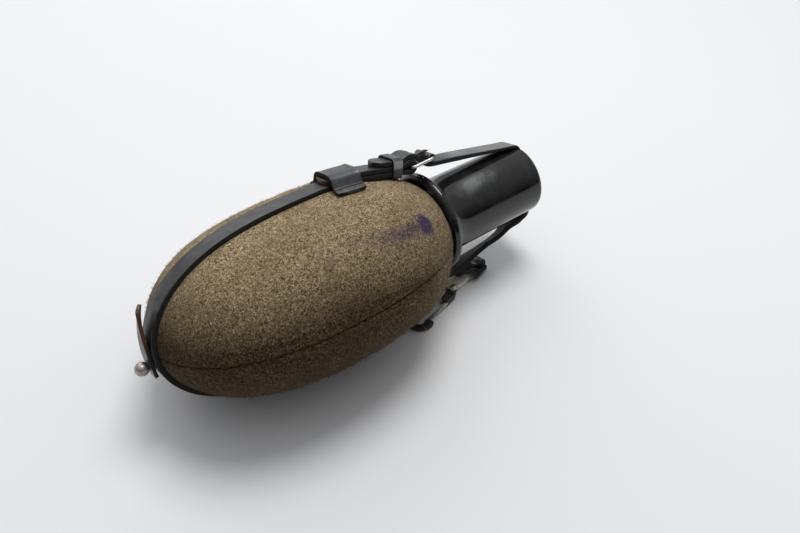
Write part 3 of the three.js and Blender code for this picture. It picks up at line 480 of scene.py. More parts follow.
# Mesh pieces
def mesh_of(name, shape, place, values=None):
    """A mesh with its vertices moved into the frame and its faces turned outwards."""
    mesh = bpy.data.meshes.new(name)
    mesh.from_pydata([place @ Vector(v) for v in shape[0]], [], shape[1])
    mesh.validate()
    for key, data in (values or {}).items():
        mesh.attributes.new(key, "FLOAT", "POINT").data.foreach_set("value", np.asarray(data, np.float32))
    form = bmesh.new()
    form.from_mesh(mesh)
    bmesh.ops.recalc_face_normals(form, faces=form.faces[:])
    form.to_mesh(mesh)
    form.free()
    return mesh


def link(name, data):
    made = bpy.data.objects.new(name, data)
    bpy.context.scene.collection.objects.link(made)
    return made


def add_piece(name, shape, look, body, nodes=(), place=LYING, values=None, sharp=40, cutters=()):
    """A mesh piece, smooth up to a sharp angle, that rides on a body and stands for CAD nodes."""
    material, slot = look
    piece = link(name, mesh_of(name, shape, place, values))
    piece.data.materials.append(material)
    for cutter_shape, cutter_place in cutters:
        cutter = link("cutter", mesh_of("cutter", cutter_shape, cutter_place))
        cut(piece, cutter)
    piece.data.shade_smooth()
    piece.data.set_sharp_from_angle(angle=math.radians(sharp))
    for node in nodes:
        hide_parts(node)
    if body:
        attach(piece, body)
    return piece


def cut(piece, cutter):
    """Takes a cutter away from a piece, and the cutter out of the scene."""
    modifier = piece.modifiers.new("cut", "BOOLEAN")
    modifier.object = cutter
    modifier.operation = "DIFFERENCE"
    modifier.solver = "EXACT"
    graph = bpy.context.evaluated_depsgraph_get()
    mesh = bpy.data.meshes.new_from_object(piece.evaluated_get(graph))
    piece.modifiers.clear()
    piece.data = mesh
    bpy.data.objects.remove(cutter)


def loft_faces(rows, columns, closed_rows=False, closed_columns=True, start=0):
    """Quads over a grid of points, row by row."""
    faces = []
    for i in range(rows if closed_rows else rows - 1):
        for j in range(columns if closed_columns else columns - 1):
            a = i * columns + j
            b = i * columns + (j + 1) % columns
            c = ((i + 1) % rows) * columns + (j + 1) % columns
            d = ((i + 1) % rows) * columns + j
            faces.append((start + a, start + b, start + c, start + d))
    return faces


def turned(profile, segments, shape=None, closed=False):
    """A profile of [x, radius] points turned about x; shape may move each point."""
    return ringed([(x, radius, radius) for x, radius in profile], segments, shape, closed)


def ringed(rings, segments, shape=None, closed=False):
    """Loft over ellipses [x, half width, half depth]; one of no size is a pole."""
    verts, faces, rows = [], [], []
    for x, wide, deep in rings:
        row = []
        for k in range(segments if wide > 1e-9 else 1):
            angle = math.tau * k / segments
            point = on_ring(x, wide, deep, angle)
            row.append(len(verts))
            verts.append(shape(point, angle) if shape else point)
        rows.append(row)
    for near, far in zip(rows, rows[1:] + rows[:1] if closed else rows[1:]):
        for k in range(segments):
            n = (k + 1) % segments
            corners = [near[k % len(near)], near[n % len(near)], far[n % len(far)], far[k % len(far)]]
            unique = list(dict.fromkeys(corners))
            if len(unique) > 2:
                faces.append(unique)
    return verts, faces


def rod(half_length, radius, segments):
    """Round cutter along x."""
    start, end = -half_length, half_length
    return turned([(start, 0), (start, radius), (end, radius), (end, 0)], segments)


def plate(outline, holes, thickness, bevel):
    """Flat plate with rounded edges from 2-D outlines, about the drawing plane."""
    rings = [[Vector((p[0], p[1], 0)) for p in ring] for ring in (outline, *holes)]
    form = bmesh.new()
    low = [form.verts.new((p.x, p.y, -thickness / 2)) for ring in rings for p in ring]
    high = [form.verts.new((p.x, p.y, thickness / 2)) for ring in rings for p in ring]
    for a, b, c in tessellate_polygon(rings):
        form.faces.new((high[a], high[b], high[c]))
        form.faces.new((low[c], low[b], low[a]))
    start = 0
    for ring in rings:
        for k in range(len(ring)):
            a, b = start + k, start + (k + 1) % len(ring)
            form.faces.new((low[a], low[b], high[b], high[a]))
        start += len(ring)
    bmesh.ops.recalc_face_normals(form, faces=form.faces[:])
    sharp = [e for e in form.edges if len(e.link_faces) == 2 and e.calc_face_angle() > math.radians(50)]
    bmesh.ops.bevel(form, geom=sharp, offset=bevel, segments=3, profile=0.5, affect="EDGES",
                    clamp_overlap=True)
    form.verts.index_update()
    shape = [v.co.copy() for v in form.verts], [[v.index for v in f.verts] for f in form.faces]
    form.free()
    return shape


def prism(outline, low, high):
    """Straight-sided cutter: an [x, z] outline between two y."""
    count = len(outline)
    verts = [(x, y, z) for y in (low, high) for x, z in outline]
    faces = [tuple(range(count)), tuple(range(2 * count - 1, count - 1, -1))]
    faces += [(k, (k + 1) % count, count + (k + 1) % count, count + k) for k in range(count)]
    return verts, faces


def joined(*shapes):
    verts, faces = [], []
    for more, quads in shapes:
        start = len(verts)
        verts += list(more)
        faces += [[i + start for i in face] for face in quads]
    return verts, faces


def moved(shape, matrix):
    return [matrix @ Vector(v) for v in shape[0]], shape[1]


def tangent_at(path, i, closed):
    """Direction of a path at one of its points."""
    if closed:
        return (path[(i + 1) % len(path)] - path[i - 1]).normalized()
    return (path[min(i + 1, len(path) - 1)] - path[max(i - 1, 0)]).normalized()


def swept(verts, rows, closed):
    """Shape over rows of points along a path; an open one is capped."""
    columns = len(verts) // rows
    faces = loft_faces(rows, columns, closed_rows=closed)
    if not closed:
        faces.append(tuple(range(columns - 1, -1, -1)))
        faces.append(tuple(range((rows - 1) * columns, rows * columns)))
    return verts, faces


def tube(path, radii, sides, closed=False):
    """Round tube along 3-D points, with a radius at each."""
    path = [Vector(p) for p in path]
    verts, normal = [], None
    for i, point in enumerate(path):
        tangent = tangent_at(path, i, closed)
        if normal is None:
            normal = tangent.orthogonal().normalized()
        normal = (normal - tangent * normal.dot(tangent)).normalized()
        other = tangent.cross(normal)
        verts += [point + swung(normal, other, math.tau * k / sides) * radii[i] for k in range(sides)]
    return swept(verts, len(path), closed)


def strap_section(width, thickness, radius, crown):
    """Rounded strap section as [across, up] points, with a slight crown."""
    half, high = width / 2, thickness / 2
    corners = []
    for side, up, start in ((1, 1, 0), (-1, 1, 90), (-1, -1, 180), (1, -1, 270)):
        corners += arc((side * (half - radius), up * (high - radius)), radius, start, start + 90, 5)
        if start in (0, 180):
            for share in (0.94, 0.75, 0.5, 0.25, 0, -0.25, -0.5, -0.75, -0.94):
                corners.append((side * (half - radius) * share, up * (high + crown * (1 - share ** 2))))
    return corners


TIP_THIN = 0.6
TIP_THIN_RUN = 0.7
TIP_BLUNT = 0.15
EDGE_RUB = 1.6
RAW_RUN = 2.2


def ribbon(path, across, width, thickness, radius=0.45, crown=0.1, wave=0.1, seed=0, tips=(0.0, 0.0),
           raw=(0.0, 0.0), relief=None, slim=None, closed=False):
    """Strap along a path. Tips are the lengths over which its ends round off in plan; raw says how much
    bare hide its ends show. Gives the shape and the wear values at its points."""
    path = [Vector(p) for p in path]
    section = strap_section(width, thickness, radius, crown)
    lengths = running([(b - a).length for a, b in zip(path, path[1:])])
    run = lengths[-1]
    verts, edge, bare, cut_side = [], [], [], []
    for i, point in enumerate(path):
        side = Vector(across[i]).normalized()
        up = tangent_at(path, i, closed).cross(side).normalized()
        end = 0 if lengths[i] < run / 2 else 1
        left = min(lengths[i], run - lengths[i])
        narrow, thin = 1.0, 1.0
        if not closed:
            thin = TIP_THIN + (1 - TIP_THIN) * math.sqrt(1 - (1 - min(1.0, left / TIP_THIN_RUN)) ** 2)
            thin *= slim[i] if slim else 1
            if tips[end] and left < tips[end]:
                share = (left + TIP_BLUNT) / (tips[end] + TIP_BLUNT)
                narrow = max(0.12, math.sqrt(1 - (1 - share) ** 2))
        wobble = 1 + 0.012 * noise.noise((lengths[i] * 0.09, seed, 0.5))
        for a, b in section:
            ripple = noise.noise((lengths[i] * 0.13, a * 0.25, seed + 3.1 * (b > 0)))
            jitter = 0.0 if closed else wave * ripple
            rise = relief(lengths[i], run, a) if relief and b > 0 else 0.0
            verts.append(point + side * a * wobble * narrow + up * (b * thin + jitter + rise))
            edge.append(max(0.0, 1 - (width / 2 - abs(a)) / EDGE_RUB))
            cut_side.append(1.0 if abs(a) > width / 2 - 0.35 * radius else 0.0)
            bare.append(0.0 if closed else raw[end] * max(0.0, 1 - left / RAW_RUN))
    return swept(verts, len(path), closed), {"edge": edge, "side": cut_side, "cut_end": bare}


def flat_path(points, step, radius=3.0):
    """Evenly spaced 3-D path in the middle plane, from [x, z] points, with its width directions."""
    path = [(x, 0, z) for x, z in spaced(rounded(points, radius), step)]
    return path, [(0, 1, 0)] * len(path)


# Materials
class Look:
    """A material, or the world, with short ways to add its nodes."""

    def __init__(self, made, shader="Principled BSDF", space="Object"):
        self.made = made
        made.use_nodes = True
        self.tree = made.node_tree
        self.shader = self.tree.nodes[shader]
        self.place = self.add("TexCoord", space)

    def put(self, socket, value):
        if isinstance(value, bpy.types.NodeSocket):
            self.tree.links.new(value, socket)
        elif isinstance(value, tuple) and len(value) == 3 and socket.type == "RGBA":
            socket.default_value = (*value, 1)
        else:
            socket.default_value = value

    def add(self, kind, output, inputs=None, **settings):
        """A shader node with its settings and inputs; gives one of its outputs."""
        node = self.tree.nodes.new("ShaderNode" + kind)
        for key, value in settings.items():
            setattr(node, key, value)
        for key, value in (inputs or {}).items():
            self.put(node.inputs[key], value)
        return node.outputs[output]

    def set(self, **sockets):
        for key, value in sockets.items():
            self.put(self.shader.inputs[key.replace("_", " ")], value)

    def noise(self, scale, detail=3.0, rough=0.6, twist=0.0, kind="FBM", vector=None):
        inputs = {"Vector": vector or self.place, "Scale": scale, "Detail": detail, "Roughness": rough,
                  "Distortion": twist}
        return self.add("TexNoise", "Fac", inputs, noise_type=kind, normalize=True)

    def cells(self, scale):
        return self.add("TexVoronoi", "Distance", {"Vector": self.place, "Scale": scale}, feature="F1")

    def span(self, value, low, high, to_low=0.0, to_high=1.0):
        inputs = {"Value": value, "From Min": low, "From Max": high, "To Min": to_low, "To Max": to_high}
        return self.add("MapRange", "Result", inputs, clamp=True)

    def math(self, kind, a, b):
        return self.add("Math", 0, {0: a, 1: b}, operation=kind)

    def times(self, a, b):
        return self.math("MULTIPLY", a, b)

    def mix(self, share, a, b):
        return self.add("Mix", 2, {0: share, 6: a, 7: b}, data_type="RGBA")

    def coats(self, base, *coats):
        """A base colour with coats over it, each a share and a colour."""
        for share, colour in coats:
            base = self.mix(share, base, colour)
        return base

    def value(self, name):
        return self.add("Attribute", "Fac", attribute_name=name)

    def stretched(self, scale):
        return self.add("Mapping", "Vector", {"Vector": self.place, "Scale": scale})

    def bump(self, *heights):
        """Each height is (socket, distance in metres, strength)."""
        inputs = {}
        for height, distance, strength in heights:
            inputs.update(Height=height, Distance=distance, Strength=strength)
            inputs["Normal"] = self.add("Bump", "Normal", inputs)
        self.set(Normal=inputs["Normal"])


def felt_look():
    look = Look(bpy.data.materials.new("wool_felt"))
    tufts = look.noise(880, 2, 0.6, 1.4)
    grain = look.noise(1900, 2, 0.6, 0.8)
    curls = look.noise(520, 1, 0.5, 2.2, "RIDGED_MULTIFRACTAL")
    patches = look.noise(34, 3, 0.6)
    tone = look.math("ADD", look.times(tufts, 0.6), look.times(grain, 0.4))
    # Darkening: seam dirt, and painted shade low down that is partly dirt
    soil_and_shade = look.times(look.value("soil_and_shade"), look.span(tone, 0.40, 0.62, 1.0, 0.72))
    ink = look.times(look.value("ink"), look.span(tone, 0.42, 0.62, 1.0, 0.85))
    base = look.coats(PEAT,
                      (look.span(tone, 0.40, 0.52), OLIVE),
                      (look.span(tone, 0.50, 0.62, 0.0, 0.9), STRAW),
                      (look.span(curls, 0.60, 0.90, 0.0, 0.5), STRAW),
                      (look.span(patches, 0.42, 0.72, 0.0, 0.45), DULL_FELT),
                      (soil_and_shade, SOIL_AND_SHADE), (ink, INK), (look.value("lint"), LINT))
    look.set(Base_Color=base, Roughness=0.96, Specular_IOR_Level=0.08)
    look.set(Sheen_Weight=0.1, Sheen_Roughness=0.4, Sheen_Tint=FELT_SHEEN)
    look.bump((tufts, 0.0010, 0.8), (grain, 0.0005, 0.7))
    return look.made


def leather_look(name, base_tone, worn_tone, rough, brown):
    look = Look(bpy.data.materials.new(name))
    grain = look.cells(1500)
    creases = look.noise(210, 4, 0.65, 0.7)
    broad = look.noise(60, 3, 0.6)
    rub = look.times(look.value("edge"), look.span(look.noise(130, 3), 0.50, 0.64))
    aged, side = look.value("aged"), look.value("side")
    raw = look.times(look.value("cut_end"), look.span(look.noise(320, 2), 0.25, 0.5, 0.5, 1.0))
    # Wear and grain, plus a pale grey painted highlight where the strap or keeper catches the light
    base = look.coats(base_tone,
                      (look.span(creases, 0.45, 0.75, 0.0, 0.75), worn_tone),
                      (look.span(broad, 0.50, 0.68, 0.0, brown), BROWN_HIDE),
                      (look.times(rub, 0.4), GREY_HIDE),
                      (aged, look.mix(look.span(broad, 0.46, 0.60), EDGE_BLACK, BROWN_HIDE)),
                      (look.value("painted_highlight"), PAINTED_HIGHLIGHT_HIDE), (side, EDGE_BLACK), (raw, RAW_HIDE))
    look.set(Base_Color=base, Specular_IOR_Level=0.6)
    face = look.span(broad, 0.3, 0.7, rough - 0.09, rough + 0.13)
    dull = look.math("MAXIMUM", look.times(side, 0.9), look.times(aged, 0.8))
    look.set(Roughness=look.math("MAXIMUM", face, dull))
    look.bump((creases, 0.0005, 0.3), (grain, 0.0002, 0.25))
    return look.made


def metal_look(name, tone, dark_tone, rough, metallic=1.0, scratch=0.5):
    look = Look(bpy.data.materials.new(name))
    tarnish = look.noise(260, 4, 0.65, 0.5)
    fine = look.noise(1800, 2, 0.6, 0.0, "FBM", look.stretched((0.25, 1.0, 1.0)))
    blacking = look.times(look.value("blacking"), look.span(tarnish, 0.58, 0.7, 1.0, 0.6))
    base = look.coats(tone, (look.span(tarnish, 0.42, 0.68), dark_tone), (blacking, BLACKING),
                      (look.value("polish"), BARE_STEEL))
    look.set(Base_Color=base, Metallic=metallic)
    look.set(Roughness=look.span(tarnish, 0.3, 0.7, rough, rough + 0.22))
    look.bump((fine, 0.00006, scratch), (tarnish, 0.00012, 0.5))
    return look.made


def cup_look():
    look = Look(bpy.data.materials.new("black_moulding"))
    smear = look.noise(55, 5, 0.62, 0.6)
    scuff = look.noise(420, 3, 0.7, 0.2, "FBM", look.stretched((0.35, 1.0, 1.0)))
    flow = look.noise(14, 2, 0.5)
    # Scuffed patch: rougher, and greyer as a painted reflection
    scuff_and_reflection = look.times(look.value("scuff_and_reflection"), look.span(smear, 0.34, 0.62, 0.35, 1.0))
    base = look.coats(CUP_GLOSS, (look.span(smear, 0.45, 0.75), CUP_SMEAR), (scuff_and_reflection, CUP_PAINTED_REFLECTION))
    look.set(Base_Color=base, Specular_IOR_Level=0.5)
    rough = look.math("ADD", look.span(smear, 0.44, 0.74, 0.05, 0.22), look.times(scuff_and_reflection, 0.25))
    look.set(Roughness=look.math("ADD", rough, look.span(scuff, 0.60, 0.75, 0.0, 0.10)))
    look.bump((flow, 0.004, 0.05), (scuff, 0.00003, 0.3))
    return look.made


def rubber_look():
    look = Look(bpy.data.materials.new("red_rubber"))
    bloom = look.noise(300, 4, 0.6)
    look.set(Base_Color=look.mix(bloom, RED_RUBBER, OLD_RUBBER))
    look.set(Roughness=look.span(bloom, 0.3, 0.7, 0.65, 0.9))
    look.bump((bloom, 0.0002, 0.3))
    return look.made


# Each look goes with a material slot of the record
FELT = felt_look(), "felt"
LEATHER = leather_look("black_leather", BLACK_HIDE, GREY_HIDE, 0.36, 0.15), "leather"
KEEPER_LEATHER = leather_look("smooth_black_leather", KEEPER_HIDE, WORN_KEEPER, 0.34, 0.05), "leather"
STEEL = metal_look("worn_steel", (0.74, 0.73, 0.71), (0.36, 0.35, 0.33), 0.20), "steel"
DARK_STEEL = metal_look("dull_steel", (0.16, 0.155, 0.15), (0.07, 0.066, 0.062), 0.34), "steel"
NICKEL = metal_look("worn_nickel", (0.80, 0.75, 0.66), (0.54, 0.49, 0.41), 0.42, 0.35), "steel"
STUD_METAL = metal_look("pale_nickel", (0.52, 0.46, 0.44), (0.27, 0.22, 0.21), 0.36), "steel"
BLACK_STEEL = metal_look("blackened_steel", (0.014, 0.014, 0.015), (0.055, 0.050, 0.046), 0.34,
                         0.25), "black_steel"
BRASS = metal_look("aged_brass", (0.74, 0.62, 0.44), (0.34, 0.26, 0.16), 0.26), "brass"
ALUMINIUM = metal_look("turned_aluminium", (0.52, 0.52, 0.51), (0.34, 0.34, 0.335), 0.30,
                       scratch=0.8), "aluminium"
CUP_BLACK = cup_look(), "cup"
RUBBER = rubber_look(), "rubber"

# Camera at the photograph's viewing angle
CAMERA_PLACE = Vector((-0.2061, -0.3031, 0.3918))
CAMERA_RIGHT = Vector((0.7933, -0.6084, 0.0261))
CAMERA_UP = Vector((0.4051, 0.5594, 0.7234))
CAMERA_LENS = 39.9

# Soft light from behind and above, brighter on the window's side
WINDOW_SIDE = Vector((0.22, 0.38, 0.90)).normalized()
WORLD_SPAN = (-0.1, 1.0)
WORLD_LEVELS = (0.03, 0.8)
FLOOR_HALF = 6.0


def add_camera():
    data = bpy.data.cameras.new("camera")
    data.lens = CAMERA_LENS
    data.sensor_width = 36
    data.sensor_fit = "HORIZONTAL"
    camera = link("camera", data)
    right = CAMERA_RIGHT.normalized()
    back = right.cross(CAMERA_UP).normalized()
    up = back.cross(right)
    camera.matrix_world = Matrix.Translation(CAMERA_PLACE) @ Matrix((right, up, back)).transposed().to_4x4()
    bpy.context.scene.camera = camera


def add_area(name, place, target, size, power):
    data = bpy.data.lights.new(name, "AREA")
    data.shape = "DISK"
    data.size = size
    data.energy = power
    lamp = link(name, data)
    lamp.location = place
    lamp.rotation_euler = (Vector(target) - Vector(place)).to_track_quat("-Z", "Y").to_euler()


def add_stage():
    look = Look(bpy.data.materials.new("pale_paper"))
    look.set(Base_Color=look.mix(look.noise(3, 2, 0.5), FLOOR_WHITE, FLOOR_SHADE), Roughness=0.9)
    mesh = bpy.data.meshes.new("floor")
    corners = rect(-FLOOR_HALF, -FLOOR_HALF, FLOOR_HALF, FLOOR_HALF)
    mesh.from_pydata([(x, y, 0) for x, y in corners], [], [(0, 1, 2, 3)])
    mesh.materials.append(look.made)
    link("floor", mesh)
    sky = Look(bpy.data.worlds.new("studio"), "Background", "Generated")
    aim = sky.add("VectorMath", "Value", {0: sky.place, 1: WINDOW_SIDE}, operation="DOT_PRODUCT")
    sky.set(Color=SKY, Strength=sky.span(aim, *WORLD_SPAN, *WORLD_LEVELS))
    bpy.context.scene.world = sky.made
    add_area("key", (0.38, 0.20, 1.35), (0, 0, 0.04), 0.7, 10.8)
    add_area("back", (0.20, 1.05, 0.70), (0, 0, 0.06), 1.0, 2.8)
    bpy.context.scene.view_settings.view_transform = "Standard"


# Felt cover
INK_BLOB = Vector((145.2, -42.0, 21.4))
INK_STREAK = ((141, -43, 23), (126.1, -47.7, 25.5), (111.1, -47.8, 29.3), (98.1, -45.2, 32.1))
INK_SPOTS = ((85.2, -47.7, 30.2), (73.8, -48.5, 29.1))
LINT_SPOTS = ((22.4, -34.5, 21.3), (58.9, -29.3, 38.8), (63.1, -32.7, 37.9), (65.6, -33.3, 38.1))


def ink_at(point):
    """How strongly the old ink has soaked in: a blob near the shoulder, a fading streak and spots."""
    rough = 1.5 * noise.noise(point * 0.35) + 0.8 * noise.noise(point * 1.1)
    off = point - INK_BLOB
    blob = math.hypot(off.x * (0.8 if off.x < 0 else 1.3), off.y, off.z) + rough
    strength = 0.95 * fade(blob, 4.5, 8.8)
    for near, far, weight in zip(INK_STREAK, INK_STREAK[1:], (0.8, 0.5, 0.32)):
        near, far = Vector(near), Vector(far)
        along = clamped((point - near).dot(far - near) / (far - near).length_squared)
        gap = (point - near.lerp(far, along)).length + rough
        strength = max(strength, weight * (1 - 0.35 * along) * fade(gap, 1.5, 6.0))
    for spot in INK_SPOTS:
        strength = max(strength, 0.25 * fade((point - Vector(spot)).length + rough, 0.5, 3.5))
    return strength


def soil_and_shade_at(point):
    """Darkening of the felt: painted shade low down, partly dirt, and a little dirt next to the base."""
    low = fade(point.z, -2, 44) * (1 - 0.3 * smooth(point.x, 90, 150))
    return low + 0.12 * fade(point.x, 1, 16) * fade(point.z, 12, 34)


def skin_normal(point, half_width, half_depth):
    """Outward direction of the cover's skin at a point on it."""
    normal = Vector((0, point.y / max(half_width, 1) ** 2, point.z / max(half_depth, 1) ** 2))
    normal = normal.normalized() if normal.length > 1e-9 else Vector((-1, 0, 0))
    share = abs(normal.y)
    slope = share * form_slope(point.x, WIDTH) + (1 - share) * form_slope(point.x, DEPTH)
    return (normal + Vector((max(-6.0, slope), 0, 0))).normalized()


def felt_surface(point, half_width, half_depth, front):
    """The outer skin's point, with its seam, lumps, swelling shoulder and the dent under the strap."""
    off = sum(height * noise.noise(point * pace) for height, pace in FELT_LUMPS)
    seam = math.exp(-(point.z / SEAM_WIDTH) ** 2)
    off -= SEAM_DEPTH * seam * (1 - 0.6 * smooth(point.x, 118, 150))
    lip = 0.6 + 0.8 * noise.noise((point.x * 0.11, 7, 2))
    off += 0.3 * math.exp(-((abs(point.z) - 2.6) / 1.6) ** 2) * lip
    beside = abs(point.y)
    along = (point.x - SWELL_FROM) / (SWELL_TO - SWELL_FROM)
    if 0 < along < 1:
        clear = smooth(beside, 15, 27) * (smooth(abs(point.z), 16, 26) if point.y > 0 else 1)
        off += SWELL * clear * math.sin(math.pi * along ** 1.25) ** 2
    if point.x < (FRONT_LEAVE if front > 0 else BACK_LEAVE):
        off *= 1 - 0.7 * fade(beside, 5, 8)
        off += 0.5 * math.exp(-((beside - 6.9) / 2.2) ** 2)
    return point + skin_normal(point, half_width, half_depth) * off


def felt_panel(name, node, front):
    """Half of the cover, front or back, as a closed sheet with its edges drawn in at the seams."""
    verts, ink, soil_and_shade = [], [], []
    for inset in (0.0, FELT_THICKNESS):
        for x in form_stations(inset, FELT_ROWS):
            half_width, half_depth = halves(x, inset)
            for j in range(FELT_COLUMNS + 1):
                share = j / FELT_COLUMNS
                share -= SEAM_GATHER * math.sin(math.tau * share) / math.tau
                angle = math.pi * (0.0006 + 0.9988 * share)
                point = on_ring(x, -half_width, front * half_depth, angle)
                if inset == 0:
                    point = felt_surface(point, half_width, half_depth, front)
                verts.append(point)
                ink.append(ink_at(point) if front > 0 and point.y < -30 else 0.0)
                # Dirt along the seam, plus the darkening low down: painted shade, partly dirt
                line = 0.45 * math.exp(-point.z ** 2) + 0.3 * math.exp(-((point.z - 1.0) / 5.0) ** 2)
                soil_and_shade.append(min(1.0, line * (1 - 0.75 * smooth(x, 112, 150)) + soil_and_shade_at(point)))
    rows, columns = FELT_ROWS + 1, FELT_COLUMNS + 1
    shape, values = welded(sheet_of(verts, rows, columns), {"ink": ink, "soil_and_shade": soil_and_shade})
    piece = add_piece(name, shape, FELT, "flask", [node], values=values, sharp=60)


def sheet_of(verts, rows, columns):
    """Closed sheet from the points of its outer face and then of its inner one."""
    shift = rows * columns
    faces = loft_faces(rows, columns, closed_columns=False)
    faces += [face[::-1] for face in loft_faces(rows, columns, closed_columns=False, start=shift)]
    rim = [i * columns for i in range(rows)] + [(rows - 1) * columns + j for j in range(1, columns)]
    rim += [i * columns + columns - 1 for i in range(rows - 2, -1, -1)] + list(range(columns - 2, 0, -1))
    faces += [(b, a, a + shift, b + shift) for a, b in zip(rim, rim[1:] + rim[:1])]
    return verts, faces


def welded(shape, values):
    """Joins vertices at the same place, and keeps the first one's values."""
    found, kept, index, first = {}, [], [], []
    for i, v in enumerate(shape[0]):
        key = tuple(round(c, 4) for c in v)
        if key not in found:
            found[key] = len(kept)
            kept.append(v)
            first.append(i)
        index.append(found[key])
    faces = [list(dict.fromkeys(index[i] for i in face)) for face in shape[1]]
    faces = [face for face in faces if len(face) > 2]
    return (kept, faces), {key: [data[i] for i in first] for key, data in values.items()}


def flap_point(x, depth, inset):
    half_depth = form_radius(x, DEPTH, inset)
    return Vector((x, form_radius(x, WIDTH, inset) * math.sqrt(1 - (depth / half_depth) ** 2), depth))


def felt_flap():
    """The front panel's flap over the far seam: it leaves the panel flush and lies on the back panel."""
    rows, columns = 40, 140
    verts, soil_and_shade = [], []
    for outer in (True, False):
        for i in range(rows + 1):
            depth = FLAP_ROOT - (FLAP_ROOT + FLAP_REACH) * i / rows
            near_edge = max(0.0, FLAP_CORNER - (depth + FLAP_REACH))
            trim = FLAP_CORNER - math.sqrt(max(0.0, FLAP_CORNER ** 2 - near_edge ** 2))
            lift = smooth(FLAP_ROOT - depth, 0, FLAP_ROOT - 1.0)
            for j in range(columns + 1):
                x = FLAP_START + trim + (FLAP_END - FLAP_START - 2 * trim) * j / columns
                edge = min(1.0, (rows - i) / 2.0, j / 2.0, (columns - j) / 2.0)
                top = (CLEARANCE + FELT_THICKNESS) * lift - 0.5 * (1 - edge)
                off = top if outer else (CLEARANCE * lift - 0.8 * (1 - lift))
                point = flap_point(x, depth, -off)
                if outer:
                    point.y += 0.16 * noise.noise(point * 0.9) + 0.25 * noise.noise(point * 0.12)
                verts.append(point)
                soil_and_shade.append(0.5 * (1 - edge))
    shape = sheet_of(verts, rows + 1, columns + 1)
    values = {"ink": [0.0] * len(verts), "soil_and_shade": soil_and_shade}
    piece = add_piece("felt_flap", shape, FELT, "flask", values=values, sharp=60)


def covered(point):
    """Whether a strap, the keeper, the flap or the cup lies over the skin at a point."""
    strap = abs(point.y) < 9.5
    keeper = point.z > 0 and abs(point.y) < 18 and 110 < point.x < 136
    flap = point.y > 0 and abs(point.z) < 17 and 28 < point.x < 154
    return strap or keeper or flap or point.x > 166


FIBRE_POINTS = 7
# Where a fibre's points lie in its cell of the bake's map
FIBRE_CHART = (0.2, 0.2), (0.8, 0.2), (0.5, 0.4), (0.2, 0.6), (0.8, 0.6), (0.5, 0.7), (0.5, 0.9)


def felt_nap():
    """Loose wool fibres that stand off the cover: thin closed curls, rooted in the felt."""
    draw = np.random.default_rng(7)
    stations = form_stations(0, 400)[4:-40]
    weights = np.array([sum(halves(x)) for x in stations])
    picks = draw.choice(len(stations), NAP_COUNT, p=weights / weights.sum())
    verts, faces, soil_and_shade, ink, lint = [], [], [], [], []
    for pick in picks:
        x = stations[pick] + draw.uniform(-0.3, 0.3)
        angle = draw.uniform(0, math.tau)
        lean, heading = draw.uniform(*NAP_LEAN), draw.uniform(0, math.tau)
        length, bend, width = draw.uniform(*NAP_LENGTH), draw.uniform(*NAP_BEND), draw.uniform(*NAP_RADIUS)
        wide, deep = halves(x)
        root = on_ring(x, wide, deep, angle)
        front = 1 if root.z > 0 else -1
        skin = felt_surface(root, wide, deep, front)
        if covered(root) or (LYING @ skin).z < NAP_FLOOR:
            continue
        normal = skin_normal(root, wide, deep)
        along = normal.orthogonal().normalized()
        flat = swung(along, normal.cross(along), heading)
        aside = normal.cross(flat)
        middle = skin + swung(normal, flat, lean) * length * 0.5
        tip = middle + (normal * math.cos(lean + 0.5) + flat * math.sin(lean) + aside * bend) * length * 0.5
        fleck = min((skin - Vector(spot)).length for spot in LINT_SPOTS) < LINT_REACH
        width *= LINT_SCALE if fleck else 1
        start = len(verts)
        for centre, thick in ((skin - normal * NAP_ROOT, width), (middle, width * 0.8)):
            verts += [centre + swung(aside, normal, math.tau * k / 3) * thick for k in range(3)]
        verts.append(tip)
        a, b, c, d, e, f, g = range(start, start + FIBRE_POINTS)
        faces += [(a, c, b), (a, b, e, d), (b, c, f, e), (c, a, d, f), (d, e, g), (e, f, g), (f, d, g)]
        # Each fibre takes the dirt and painted shade of the skin under it
        soil_and_shade += [0.8 * soil_and_shade_at(skin)] * FIBRE_POINTS
        ink += [ink_at(skin) if skin.y < -30 and front > 0 else 0.0] * FIBRE_POINTS
        lint += [1.0 if fleck else 0.0] * FIBRE_POINTS
    values = {"ink": ink, "soil_and_shade": soil_and_shade, "lint": lint}
    piece = add_piece("felt_nap", (verts, faces), FELT, "flask", values=values, sharp=80)
    # Each fibre has a cell of the bake's map to itself
    side = math.ceil(math.sqrt(len(verts) // FIBRE_POINTS))
    chart = piece.data.uv_layers.new(name="OFBake")
    for loop in piece.data.loops:
        fibre, corner = divmod(loop.vertex_index, FIBRE_POINTS)
        across, up = FIBRE_CHART[corner]
        chart.data[loop.index].uv = (fibre % side + across) / side, (fibre // side + up) / side


